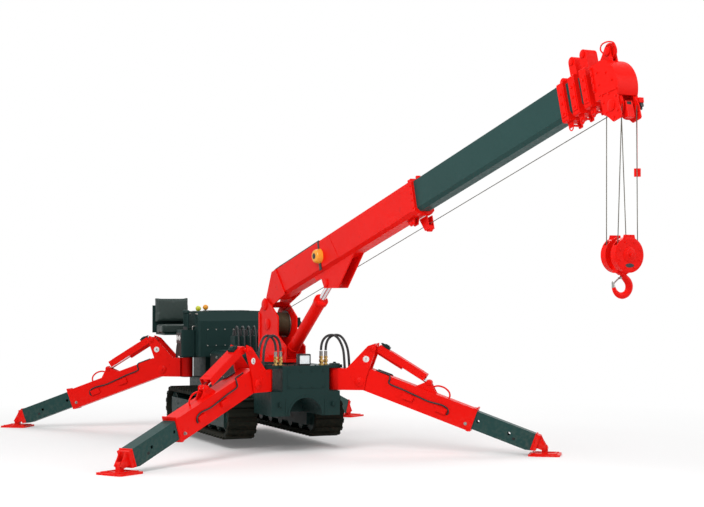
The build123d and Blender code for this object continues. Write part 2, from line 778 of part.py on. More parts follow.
# Column: a foot on the pedestal and two side plates with the boom's, winch's and cylinder's pins
column_floor = pedestal_top + seat_gap
column_outer = column_inner + column_plate
with BuildPart() as column:
    with BuildSketch(Plane(origin=(slew_x, 0, column_floor), x_dir=fore_dir)):
        Circle(pedestal_radius)
        with Locations(((column_back_s + column_front_s) / 2, 0)):
            Rectangle(column_front_s - column_back_s, 2 * column_outer)
    extrude(amount=column_foot)
    for lateral in ((column_inner + column_outer) / 2, -(column_inner + column_outer) / 2):
        with BuildSketch(column_side.offset(lateral)):
            with BuildLine():
                Polyline(
                    (column_back_s, column_floor),
                    (column_front_s, column_floor),
                    (column_front_s, column_toe_z),
                    (column_waist_s, (column_toe_z + drum_z) / 2),
                    (column_waist_s, column_shoulder_z),
                    (foot_pin_s + 2 * foot_lobe_radius, foot_pin_z),
                    (foot_pin_s, foot_pin_z + foot_lobe_radius),
                    (column_back_s, foot_pin_z - foot_lobe_radius),
                    close=True,
                )
            make_face()
            with Locations((foot_pin_s, foot_pin_z)):
                Circle(foot_lobe_radius)
        extrude(amount=column_plate / 2, both=True)
    with BuildSketch(column_side):
        with Locations((foot_pin_s, foot_pin_z)):
            Circle(foot_pin_radius)
        with Locations((luff_foot_s, luff_foot_z)):
            Circle(luff_pin_radius)
        with Locations((drum_s, drum_z)):
            Circle(drum_axle_radius)
    extrude(amount=column_outer + overrun, both=True)
save(column, "column")

# Winch drum with its wound rope
with BuildPart() as winch_drum:
    with BuildSketch(column_side):
        with Locations((drum_s, drum_z)):
            Circle(drum_radius)
    extrude(amount=column_inner - running_gap, both=True)
    flange_middle = column_inner - running_gap - drum_flange / 2
    for lateral in (flange_middle, -flange_middle):
        with BuildSketch(column_side.offset(lateral)):
            with Locations((drum_s, drum_z)):
                Circle(drum_flange_radius)
        extrude(amount=drum_flange / 2, both=True)
    with BuildSketch(column_side):
        with Locations((drum_s, drum_z)):
            Circle(drum_axle_radius + seat_gap)
    extrude(amount=column_inner, both=True, mode=Mode.SUBTRACT)
save(winch_drum, "winch_drum")

# Luffing cylinder between the column's foot and the boom's bracket
luff_head = column_side.to_local_coords(boom_side.from_local_coords(Vector(luff_head_a, luff_head_up, 0)))
luff_run = math.hypot(luff_head.X - luff_foot_s, luff_head.Y - luff_foot_z)
luff_slope = math.degrees(math.atan2(luff_head.Y - luff_foot_z, luff_head.X - luff_foot_s))
luff_line = turned(column_side, luff_foot_s, luff_foot_z, luff_slope)
luff_cross = across(luff_line)
with BuildPart() as luff_barrel:
    with BuildSketch(luff_cross.offset(luff_pin_radius)):
        Circle(luff_barrel_radius)
    extrude(amount=luff_barrel_length - luff_pin_radius)
    with BuildSketch(luff_line):
        Circle(luff_eye_radius)
    extrude(amount=luff_barrel_radius, both=True)
    with BuildSketch(luff_cross.offset(luff_barrel_length - luff_eye_radius)):
        Circle(luff_barrel_radius + running_gap)
    extrude(amount=luff_eye_radius)
    with BuildSketch(luff_line):
        Circle(luff_pin_radius + seat_gap)
    extrude(amount=column_inner, both=True, mode=Mode.SUBTRACT)
    with BuildSketch(luff_cross.offset(luff_eye_radius)):
        Circle(luff_rod_radius + seat_gap)
    extrude(amount=luff_barrel_length, mode=Mode.SUBTRACT)
save(luff_barrel, "luff_barrel")

with BuildPart() as luff_rod:
    with BuildSketch(luff_cross.offset(luff_rod_start)):
        Circle(luff_rod_radius)
    extrude(amount=luff_run - luff_rod_start)
    with BuildSketch(turned(column_side, luff_head.X, luff_head.Y, luff_slope)):
        Circle(luff_rod_eye_radius)
    extrude(amount=luff_rod_eye_width / 2, both=True)
save(luff_rod, "luff_rod")


def boom_outline(width, height, mode=Mode.ADD):
    """Boom section outline in the current sketch: square above, corners cut off below."""
    half = width / 2
    top = boom_mid + height / 2
    low = boom_mid - height / 2
    Polygon(
        (-half, top),
        (-half, low + boom_corner),
        (boom_corner - half, low),
        (half - boom_corner, low),
        (half, low + boom_corner),
        (half, top),
        align=None,
        mode=mode,
    )


def boom_tube(start, end, width, height):
    """Hollow boom section from one place along the boom to another, in the current part."""
    with BuildSketch(boom_section_plane(start)) as outline:
        boom_outline(width, height)
        boom_outline(width - 2 * boom_wall, height - 2 * boom_wall, mode=Mode.SUBTRACT)
    extrude(outline.sketch, amount=end - start)


# How much smaller the mouth of a section is than the section: it slides on the next one
slide_step = boom_step - 2 * seat_gap

# Rope line along the boom: it leaves the top of the drum
drum_place = boom_side.to_local_coords(column_side.from_local_coords(Vector(drum_s, drum_z, 0)))
rope_up = drum_place.Y + drum_radius + rope_radius + seat_gap
guide_up = rope_up - rope_radius - seat_gap - guide_radius

# Base section: tube with a slanted root, root plates, cylinder bracket, tip rim and rope guide
with BuildPart() as boom_base:
    boom_tube(0, base_tip, boom_width, boom_height)
    with BuildSketch(boom_side):
        with BuildLine():
            Polyline(
                (-overrun, foot_lobe_radius),
                (base_top_start, boom_height + overrun),
                (-overrun, boom_height + overrun),
                close=True,
            )
        make_face()
        Rectangle(2 * base_top_start, 2 * foot_lobe_radius)
    extrude(amount=boom_width, both=True, mode=Mode.SUBTRACT)
    root_shares = (1.5, 2.2)
    root_outer = boom_width / 2 + running_gap
    for lateral in (root_outer - running_gap, -root_outer + running_gap):
        with BuildSketch(boom_side.offset(lateral)):
            with BuildLine():
                Polyline(
                    (0, foot_lobe_radius),
                    (base_top_start, boom_height),
                    (root_shares[0] * base_top_start, boom_height),
                    (root_shares[1] * base_top_start, 0),
                    (0, -root_lug_radius),
                    close=True,
                )
            make_face()
            Circle(root_lug_radius)
            Circle(foot_pin_radius + seat_gap, mode=Mode.SUBTRACT)
        extrude(amount=running_gap, both=True)
    bracket_inner = luff_rod_eye_width / 2 + running_gap
    bracket_back_shares = (0.82, 0.85, 0.93, 0.957)
    bracket_front_shares = (1.17, 1.48)
    bracket_drop_shares = (0.4, 1.3, 1.9)
    for lateral in (bracket_inner + bracket_plate / 2, -bracket_inner - bracket_plate / 2):
        with BuildSketch(boom_side.offset(lateral)):
            with BuildLine():
                Polyline(
                    (bracket_back_shares[0] * luff_head_a, 0),
                    (bracket_back_shares[1] * luff_head_a, bracket_drop_shares[0] * luff_head_up),
                    (bracket_back_shares[2] * luff_head_a, bracket_drop_shares[0] * luff_head_up),
                    (bracket_back_shares[3] * luff_head_a, bracket_drop_shares[1] * luff_head_up),
                    (bracket_front_shares[0] * luff_head_a, bracket_drop_shares[2] * luff_head_up),
                    (bracket_front_shares[1] * luff_head_a, 0),
                    close=True,
                )
            make_face()
        extrude(amount=bracket_plate / 2, both=True)
        with BuildSketch(boom_side.offset(lateral)):
            with Locations((luff_head_a, luff_head_up)):
                Circle(luff_pin_radius)
        extrude(amount=math.copysign(bracket_plate / 2 + running_gap, lateral))
    with BuildSketch(boom_section_plane(base_tip - tip_rim)):
        boom_outline(boom_width + 2 * tip_rim_height, boom_height + 2 * tip_rim_height)
        boom_outline(boom_width - slide_step, boom_height - slide_step, mode=Mode.SUBTRACT)
    extrude(amount=tip_rim)
    guide_outer = guide_width / 2 + seat_gap
    for lateral in (rope_lateral + guide_outer + head_plate / 2, rope_lateral - guide_outer - head_plate / 2):
        with BuildSketch(boom_side.offset(lateral)):
            with BuildLine():
                Polyline(
                    (guide_a - 3 * guide_radius, -tip_rim_height),
                    (guide_a - guide_radius, guide_up - guide_radius / 2),
                    (guide_a + guide_radius, guide_up - guide_radius / 2),
                    (guide_a + guide_radius, -tip_rim_height),
                    close=True,
                )
            make_face()
        extrude(amount=head_plate / 2, both=True)
    with BuildSketch(boom_side.offset(rope_lateral)):
        with Locations((guide_a, guide_up)):
            Circle(guide_radius)
    extrude(amount=guide_width / 2, both=True)
    with BuildSketch(boom_side.offset(rope_lateral)):
        with Locations((guide_a, guide_up)):
            Circle(pad_pin_radius)
    extrude(amount=guide_outer + head_plate, both=True)
save(boom_base, "boom_base")


def boom_section(number):
    """Sliding boom section, second to fourth, with a collar and a top lug at its tip."""
    shrink = (number - 1) * boom_step
    width = boom_width - shrink
    height = boom_height - shrink
    start = section_start + (number - 2) * section_stagger
    collar = collar_start + (number - 2) * collar_stagger
    collar_width = boom_width - boom_step + 2 * collar_thickness
    collar_top = boom_height + (collar_rise if number > 2 else 0)
    with BuildPart() as section:
        boom_tube(start, collar + collar_length, width, height)
        with BuildSketch(boom_section_plane(collar)):
            with Locations((0, (boom_height - collar_thickness) / 2)):
                RectangleRounded(collar_width, boom_height + collar_thickness, collar_thickness)
            with Locations((0, collar_top / 2)):
                Rectangle(collar_neck, collar_top)
        extrude(amount=collar_length)
        with BuildSketch(boom_side):
            with Locations((collar + collar_length / 2, collar_top)):
                Circle(collar_length / 2)
        extrude(amount=collar_neck / 2, both=True)
        with BuildSketch(boom_section_plane(collar)):
            boom_outline(width - slide_step, height - slide_step)
        extrude(amount=collar_length, mode=Mode.SUBTRACT)
    save(section, f"boom_{number}")


for section_number in (2, 3, 4):
    boom_section(section_number)

# Fifth section: a plain tube that the head sits on
last_width = boom_width - 4 * boom_step
last_height = boom_height - 4 * boom_step
with BuildPart() as boom_5:
    boom_tube(section_start + 3 * section_stagger, sheave_a - head_cover_back, last_width, last_height)
save(boom_5, "boom_5")

# Boom head: back plate round the fifth section, two cheeks, a curved cover and the sheaves
with BuildPart() as boom_head:
    weight_lateral = head_half_width + 2 * weight_radius
    head_skirt = sheave_up - sheave_radius - 3 * head_plate
    with BuildSketch(boom_section_plane(head_start)):
        with Locations((0, (head_top_up - head_plate) / 2)):
            Rectangle(2 * head_half_width, head_top_up + head_plate)
        boom_outline(last_width + 2 * seat_gap, last_height + 2 * seat_gap, mode=Mode.SUBTRACT)
    extrude(amount=2 * head_plate)
    cover_start = (sheave_a - head_cover_back, head_top_up)
    cover_nose = (head_nose_a, head_nose_up)
    cheek_back = sheave_a - sheave_radius - head_plate
    cheek_front = sheave_a + sheave_radius
    for lateral in (head_half_width - head_plate / 2, head_plate / 2 - head_half_width):
        with BuildSketch(boom_side.offset(lateral)):
            with BuildLine():
                Polyline(
                    cover_nose,
                    (cheek_front, head_skirt + head_plate),
                    (cheek_front - head_plate, head_skirt),
                    (sheave_a - head_plate, head_skirt),
                    (cheek_back, sheave_up - 2 * head_plate),
                    (cheek_back - head_plate, -head_plate),
                    (head_start, -head_plate),
                    (head_start, head_top_up),
                    cover_start,
                )
                RadiusArc(cover_start, cover_nose, head_cover_radius)
            make_face()
        extrude(amount=head_plate / 2, both=True)
    with BuildSketch(boom_side):
        with BuildLine():
            RadiusArc(cover_start, cover_nose, head_cover_radius)
            Line(cover_nose, (head_nose_a - head_plate, head_nose_up))
            RadiusArc(
                (head_nose_a - head_plate, head_nose_up),
                (sheave_a - head_cover_back, head_top_up - head_plate),
                head_plate - head_cover_radius,
            )
            Line((sheave_a - head_cover_back, head_top_up - head_plate), cover_start)
        make_face()
    extrude(amount=head_half_width, both=True)
    with BuildSketch(boom_side):
        with Locations((sheave_a, sheave_up)):
            Circle(sheave_axle_radius)
    extrude(amount=head_half_width + running_gap, both=True)
    with BuildSketch(boom_side):
        with Locations((sheave_a, sheave_up)):
            Circle(sheave_axle_radius / 2)
    extrude(amount=rope_radius / 2 + seat_gap - weight_lateral)
    for lateral in (sheave_lateral, -sheave_lateral):
        with BuildSketch(boom_side.offset(lateral)):
            with Locations((sheave_a, sheave_up)):
                Circle(sheave_radius - rope_radius - seat_gap)
        extrude(amount=sheave_width / 2, both=True)
    top_sheave_a = sheave_a - head_plate
    with BuildSketch(boom_side):
        with Locations((top_sheave_a, top_sheave_up)):
            Circle(top_sheave_radius)
    extrude(amount=sheave_width / 2, both=True)
    for lateral in (sheave_width, -sheave_width):
        with BuildSketch(boom_side.offset(lateral)):
            with BuildLine():
                Polyline(
                    (head_start, head_top_up - head_plate),
                    (top_sheave_a - top_sheave_radius / 2, top_sheave_up + top_sheave_radius / 2),
                    (top_sheave_a + top_sheave_radius / 2, top_sheave_up + top_sheave_radius / 2),
                    (sheave_a + 2 * head_plate, head_top_up - 4 * head_plate),
                    (sheave_a + head_plate, head_top_up - 4 * head_plate),
                    (sheave_a + head_plate, head_top_up - head_plate),
                    close=True,
                )
            make_face()
        extrude(amount=head_plate / 2, both=True)
    with BuildSketch(boom_side):
        with Locations((top_sheave_a, top_sheave_up)):
            Circle(sheave_axle_radius)
    extrude(amount=sheave_width + head_plate, both=True)
save(boom_head, "boom_head")

# Angle sensor housing on the right side of the base
with BuildPart() as boom_sensor:
    sensor_radius = boom_height / 4
    sensor_depth_share = 0.9
    with BuildSketch(boom_side.offset(boom_width / 2)):
        with Locations((luff_head_a, boom_mid)):
            Circle(sensor_radius)
    extrude(amount=sensor_depth_share * sensor_radius, taper=sensor_taper)
    fillet(boom_sensor.edges().sort_by(lambda edge: -edge.center().dot(right_dir))[0], sensor_radius / 3)
save(boom_sensor, "boom_sensor")


def rope(start, end, radius):
    """Straight taut rope between two points, in the current part."""
    direction = end - start
    with BuildSketch(Plane(origin=start, z_dir=direction)) as outline:
        Circle(radius)
    extrude(outline.sketch, amount=direction.length)


# Hoist rope along the boom, in two stretches that meet over the guide roller
rope_start = boom_side.from_local_coords(Vector(drum_place.X, rope_up, rope_lateral))
rope_turn = boom_side.from_local_coords(Vector(guide_a, rope_up, rope_lateral))
rope_end_a = sheave_a - sheave_radius - 2 * rope_radius
rope_end = boom_side.from_local_coords(Vector(rope_end_a, rope_up, rope_lateral))
with BuildPart() as hoist_rope_base:
    rope(rope_start, rope_turn, rope_radius)
save(hoist_rope_base, "hoist_rope_base")
with BuildPart() as hoist_rope_extension:
    rope(rope_turn, rope_end, rope_radius)
save(hoist_rope_extension, "hoist_rope_extension")

# Four rope falls between the head sheaves and the block sheaves
block_centre = Vector(sheave_axis.X, sheave_axis.Y, block_z)
with BuildPart() as rope_falls:
    for fore in (-1, 1):
        for side in (-1, 1):
            upper = sheave_axis + fore_dir * (fore * sheave_radius) + right_dir * (side * sheave_lateral)
            lower_fore = fore_dir * (fore * block_sheave_fore)
            lower = block_centre + lower_fore + right_dir * (side * block_sheave_radius)
            rope(upper, lower, rope_radius)
save(rope_falls, "rope_falls")

# Hook block: cheeks and rims round two sheaves, a crosshead between them
block_face = Plane(origin=block_centre, x_dir=left_dir, z_dir=fore_dir)
with BuildPart() as hook_block:
    half_inner = block_sheave_fore - block_sheave_width / 2 - running_gap - block_cheek
    for fore in (-1, 1):
        for near in (half_inner, block_half_depth - block_cheek):
            with BuildSketch(block_face.offset(fore * near)):
                Circle(block_radius)
            extrude(amount=fore * block_cheek)
        with BuildSketch(block_face.offset(fore * half_inner)):
            Circle(block_radius)
            Circle(block_radius - block_cheek, mode=Mode.SUBTRACT)
            with Locations((block_sheave_radius, block_radius), (-block_sheave_radius, block_radius)):
                Rectangle(8 * rope_radius, 2 * block_radius, mode=Mode.SUBTRACT)
        extrude(amount=fore * (block_half_depth - half_inner))
        with BuildSketch(block_face.offset(fore * block_sheave_fore)):
            Circle(block_sheave_radius - rope_radius - seat_gap)
        extrude(amount=block_sheave_width / 2, both=True)
    with BuildSketch(block_face):
        Circle(block_axle_radius)
    extrude(amount=block_half_depth + running_gap, both=True)
    with BuildSketch(block_face):
        with Locations((0, -block_radius / 2)):
            Rectangle(block_radius, block_radius)
    extrude(amount=half_inner, both=True)
    with BuildSketch(Plane.XY.offset(block_z - block_radius - block_axle_radius)):
        with Locations((block_centre.X, block_centre.Y)):
            Circle(shank_radius + seat_gap)
    extrude(amount=block_radius, mode=Mode.SUBTRACT)
save(hook_block, "hook_block")

# Hook: bowl, shank that turns in the crosshead, and latch
hook_face = Plane(origin=(block_centre.X, block_centre.Y, hook_centre_z), x_dir=left_dir, z_dir=fore_dir)
with BuildPart() as hook:
    throat_shift = (hook_outer_radius - hook_throat_radius) / 3
    mouth_share = 0.8
    shank_share = 0.6
    neck_share = 0.94
    back_share = 0.2
    neck_top = neck_share * hook_outer_radius
    with BuildSketch(hook_face):
        Circle(hook_outer_radius)
        with Locations((-throat_shift, 0)):
            Circle(hook_throat_radius, mode=Mode.SUBTRACT)
        with Locations((-hook_outer_radius / 2, hook_outer_radius * mouth_share)):
            Rectangle(hook_outer_radius, hook_outer_radius, mode=Mode.SUBTRACT)
        with BuildLine():
            Polyline(
                (0, neck_top),
                (shank_radius, neck_top),
                (hook_outer_radius, back_share * hook_outer_radius),
                (hook_outer_radius, hook_outer_radius),
                (0, hook_outer_radius),
                close=True,
            )
        make_face(mode=Mode.SUBTRACT)
        with Locations((0, neck_top - hook_throat_radius / 2)):
            Rectangle(2 * shank_radius, hook_throat_radius)
    extrude(amount=hook_thickness / 2, both=True)
    shank_z = hook_centre_z + shank_share * hook_outer_radius
    with BuildSketch(Plane.XY.offset(shank_z)):
        with Locations((block_centre.X, block_centre.Y)):
            Circle(shank_radius)
    extrude(amount=block_z - block_radius / 2 - shank_z)
save(hook, "hook")

# Overhoist weight on its wire beside the falls
weight_top = sheave_axis + left_dir * weight_lateral
with BuildPart() as overhoist_weight:
    rope(weight_top, Vector(weight_top.X, weight_top.Y, weight_z), rope_radius / 2)
    with BuildSketch(Plane.XY.offset(weight_z - weight_height / 2)):
        with Locations((weight_top.X, weight_top.Y)):
            Circle(weight_radius)
    extrude(amount=weight_height)
save(overhoist_weight, "overhoist_weight")
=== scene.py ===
import json
import math

import bmesh
import bpy
from mathutils import Matrix, Vector


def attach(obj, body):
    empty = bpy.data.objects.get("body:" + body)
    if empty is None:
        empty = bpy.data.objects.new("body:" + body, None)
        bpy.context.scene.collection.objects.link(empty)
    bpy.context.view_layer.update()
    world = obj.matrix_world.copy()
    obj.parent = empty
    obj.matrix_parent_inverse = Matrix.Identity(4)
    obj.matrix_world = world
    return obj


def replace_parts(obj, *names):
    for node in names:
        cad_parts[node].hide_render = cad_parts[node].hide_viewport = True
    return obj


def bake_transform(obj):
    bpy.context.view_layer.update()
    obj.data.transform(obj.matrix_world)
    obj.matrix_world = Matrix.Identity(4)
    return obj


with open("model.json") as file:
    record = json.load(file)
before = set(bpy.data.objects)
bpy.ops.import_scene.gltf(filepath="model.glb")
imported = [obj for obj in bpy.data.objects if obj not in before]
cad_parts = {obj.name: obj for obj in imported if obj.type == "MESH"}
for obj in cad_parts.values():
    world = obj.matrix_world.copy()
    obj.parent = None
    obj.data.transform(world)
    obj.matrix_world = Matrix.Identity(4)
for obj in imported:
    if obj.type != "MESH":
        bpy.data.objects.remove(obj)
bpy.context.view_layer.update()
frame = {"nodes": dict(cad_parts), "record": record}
joints = {joint["name"]: joint for joint in frame["record"]["behaviour"]["joints"]}
X, Y, Z = Vector((1, 0, 0)), Vector((0, 1, 0)), Vector((0, 0, 1))
SIDES = (-1, 1)
CORNERS = ("front_left", "front_right", "rear_left", "rear_right")


# Local frames, each with X forward or outward, Y to its left and Z up
def at(joint):
    return Vector(joints[joint]["pos_m"])


def axis(joint):
    return Vector(joints[joint]["axis"]).normalized()


def basis(origin, x_dir):
    x = Vector(x_dir).normalized()
    y = Z.cross(x).normalized()
    matrix = Matrix((x, y, x.cross(y))).transposed().to_4x4()
    matrix.translation = origin
    return matrix


slew_point = Vector((at("slew").x, at("slew").y, 0))
boom_x = axis("boom_2_slide")
fore = Vector((boom_x.x, boom_x.y, 0)).normalized()
MACHINE = basis(slew_point, X)
COLUMN = basis(slew_point, fore)
BOOM = basis(at("luff"), boom_x)
LUFF = basis(at("luff_barrel_turn"), axis("luff_rod_slide"))
sheave = at("falls_hang")
HANG = basis(Vector((sheave.x, sheave.y, 0)), fore)
LEG, ARM, LIFT = {}, {}, {}
for corner in CORNERS:
    arm_dir = axis(f"{corner}_extend")
    yaw = at(f"{corner}_swing")
    LEG[corner] = basis(Vector((yaw.x, yaw.y, 0)), Vector((arm_dir.x, arm_dir.y, 0)))
    ARM[corner] = basis(at(f"{corner}_raise"), arm_dir)
    LIFT[corner] = basis(at(f"{corner}_lift_turn"), axis(f"{corner}_lift_slide"))


# Materials
def tree_of(name):
    made = bpy.data.materials.new(name)
    made.use_nodes = True
    return made, made.node_tree, made.node_tree.nodes["Principled BSDF"]


def wire(tree, node, links):
    """Fills a node's inputs; links are (input name or number, output socket or value)."""
    for socket, value in links:
        if isinstance(value, bpy.types.NodeSocket):
            tree.links.new(value, node.inputs[socket])
        else:
            node.inputs[socket].default_value = value


def add(tree, kind, links=(), **settings):
    made = tree.nodes.new(kind)
    for key, value in settings.items():
        setattr(made, key, value)
    wire(tree, made, links)
    return made


def noise(tree, coords, scale, detail=5.0):
    links = [("Vector", coords), ("Scale", scale), ("Detail", detail)]
    return add(tree, "ShaderNodeTexNoise", links).outputs["Fac"]


def ranged(tree, value, low, high, to_low=0.0, to_high=1.0):
    links = [(0, value), (1, low), (2, high), (3, to_low), (4, to_high)]
    return add(tree, "ShaderNodeMapRange", links).outputs[0]


def mixed(tree, share, first, second):
    links = [(0, share), (6, first), (7, second)]
    return add(tree, "ShaderNodeMix", links, data_type="RGBA").outputs[2]


def maths(tree, operation, first, second):
    return add(tree, "ShaderNodeMath", [(0, first), (1, second)], operation=operation).outputs[0]


def rgba(colour, share=1.0):
    return tuple(channel * share for channel in colour) + (1.0,)


def bumped(tree, shader, height, strength, distance):
    made = add(tree, "ShaderNodeBump", [("Height", height), ("Strength", strength), ("Distance", distance)])
    tree.links.new(made.outputs["Normal"], shader.inputs["Normal"])


# Noise scales per metre, the height that dust reaches, and its strongest share
BROAD, FINE, SCUFFS = 2.2, 28.0, 9.0
DUST_HEIGHT, DUST_SHARE, SCUFF_SHARE = 0.45, 0.16, 0.35
GRAIN_DEPTH = 0.002


def finish_of(
    name, colour, rough, metal=0.0, coat=0.0, wear=None, dirt=None, grain=180.0, bump=0.02, mottle=0.93, gloss=0.5,
    second=None,
):
    """A painted, moulded or metal surface with mottled colour, scuffs, dust and a fine grain.

    The second colour starts at a distance along a direction."""
    made, tree, shader = tree_of(name)
    coords = add(tree, "ShaderNodeTexCoord").outputs["Object"]
    broad = noise(tree, coords, BROAD)
    fine = noise(tree, coords, FINE, 8.0)
    base = rgba(colour)
    shade = rgba(colour, mottle)
    if second is not None:
        direction, limit, other = second
        dot = add(tree, "ShaderNodeVectorMath", [(0, coords), (1, tuple(direction))], operation="DOT_PRODUCT")
        past = maths(tree, "GREATER_THAN", dot.outputs["Value"], limit)
        base = mixed(tree, past, base, rgba(other))
        shade = mixed(tree, past, shade, rgba(other, mottle))
    surface = mixed(tree, ranged(tree, broad, 0.3, 0.7), shade, base)
    if dirt is not None:
        height = add(tree, "ShaderNodeSeparateXYZ", [(0, coords)]).outputs[2]
        low = ranged(tree, height, DUST_HEIGHT, 0.0, 0.0, DUST_SHARE)
        spots = maths(tree, "MULTIPLY", ranged(tree, fine, 0.42, 0.72), low)
        surface = mixed(tree, spots, surface, rgba(dirt))
    if wear is not None:
        scuffed = ranged(tree, noise(tree, coords, SCUFFS, 12.0), 0.66, 0.74, 0.0, SCUFF_SHARE)
        surface = mixed(tree, scuffed, surface, rgba(wear))
    dull = ranged(tree, fine, 0.3, 0.7, rough * 0.8, min(1.0, rough * 1.3))
    wire(tree, shader, [
        ("Base Color", surface), ("Roughness", dull), ("Metallic", metal), ("Coat Weight", coat),
        ("Coat Roughness", 0.15), ("Specular IOR Level", gloss)])
    bumped(tree, shader, noise(tree, coords, grain, 3.0), bump, GRAIN_DEPTH)
    return made


RED_COLOUR = (0.8, 0.006, 0.003)
GREEN_COLOUR = (0.02, 0.06, 0.056)
DUST = (0.3, 0.26, 0.2)
PAINT_GLOSS = 0.08


def enamel(name, colour, rough, wear, second=None):
    return finish_of(name, colour, rough, gloss=PAINT_GLOSS, wear=wear, dirt=DUST, second=second)


def green_enamel(name, second=None):
    return enamel(name, GREEN_COLOUR, 0.36, (0.03, 0.07, 0.07), second)


RED = enamel("red_enamel", RED_COLOUR, 0.34, (0.5, 0.01, 0.01))
GREEN = green_enamel("green_enamel")
DARK = enamel("chassis_enamel", (0.012, 0.032, 0.03), 0.4, (0.02, 0.045, 0.045))
RUBBER = finish_of(
    "track_rubber", (0.009, 0.011, 0.008), 0.78, gloss=PAINT_GLOSS, dirt=(0.22, 0.18, 0.12), grain=90.0, bump=0.25)
HOSE = finish_of("hose_rubber", (0.008, 0.008, 0.009), 0.46, grain=420.0, bump=0.12)
CHROME = finish_of("hard_chrome", (0.78, 0.78, 0.8), 0.1, metal=1.0, mottle=0.94, grain=600.0, bump=0.01)
STEEL = finish_of("bare_steel", (0.34, 0.33, 0.31), 0.38, metal=1.0, wear=(0.6, 0.58, 0.55), grain=300.0, bump=0.05)
ROPE = finish_of("rope_wire", (0.2, 0.185, 0.15), 0.5, metal=0.8, mottle=0.6, grain=900.0, bump=0.2)
WOUND = finish_of("wound_rope", (0.115, 0.088, 0.045), 0.55, metal=0.5, mottle=0.6, grain=900.0, bump=0.2)
BRASS = finish_of("brass", (0.62, 0.42, 0.14), 0.3, metal=1.0, mottle=0.75, grain=350.0, bump=0.04)
BLACK = finish_of("black_plastic", (0.01, 0.01, 0.011), 0.5, grain=500.0, bump=0.08)
ORANGE = finish_of("sensor_plastic", (0.85, 0.34, 0.012), 0.38, coat=0.15, grain=300.0, bump=0.04)
YELLOW = finish_of("lever_plastic", (0.58, 0.61, 0.013), 0.38, coat=0.15, grain=300.0, bump=0.04)
WHITE = finish_of("white_enamel", (0.72, 0.72, 0.7), 0.4, grain=300.0, bump=0.03)
VINYL = finish_of("seat_vinyl", (0.014, 0.03, 0.026), 0.5, grain=260.0, bump=0.3)
# Painted shade: a near-black finish for thin sheets that stand in for the shade inside openings and slots
PAINTED_SHADE = finish_of("painted_cavity_shade", (0.006, 0.006, 0.006), 0.7, grain=200.0, bump=0.1)

GLASS, glass_tree, glass_shader = tree_of("lamp_glass")
glass_coords = add(glass_tree, "ShaderNodeTexCoord").outputs["Object"]
glass_ribs = add(glass_tree, "ShaderNodeTexWave", [("Vector", glass_coords), ("Scale", 55.0)], bands_direction="Y")
wire(glass_tree, glass_shader, [
    ("Base Color", (0.75, 0.8, 0.82, 1)), ("Roughness", 0.08), ("Metallic", 0.25), ("Coat Weight", 0.8)])
bumped(glass_tree, glass_shader, glass_ribs.outputs["Fac"], 0.35, 0.003)


# Mesh pieces
def placed(name, data):
    """A new object in the scene."""
    made = bpy.data.objects.new(name, data)
    bpy.context.scene.collection.objects.link(made)
    return made


def ring(centre, first, second, radius, sides):
    """Points around a centre in the plane of two directions."""
    turn = 2 * math.pi / sides
    return [centre + (first * math.cos(i * turn) + second * math.sin(i * turn)) * radius for i in range(sides)]


def around(count, radius, offset=0.0):
    """Pairs of distances to places on a circle."""
    angles = [2 * math.pi * (step + offset) / count for step in range(count)]
    return [(radius * math.cos(angle), radius * math.sin(angle)) for angle in angles]


def soften(shown, width):
    """A bevel on the sharp edges."""
    edge = shown.modifiers.new("edge", "BEVEL")
    edge.width, edge.segments, edge.limit_method = width, 2, "ANGLE"
    edge.angle_limit = math.radians(50)
    return edge


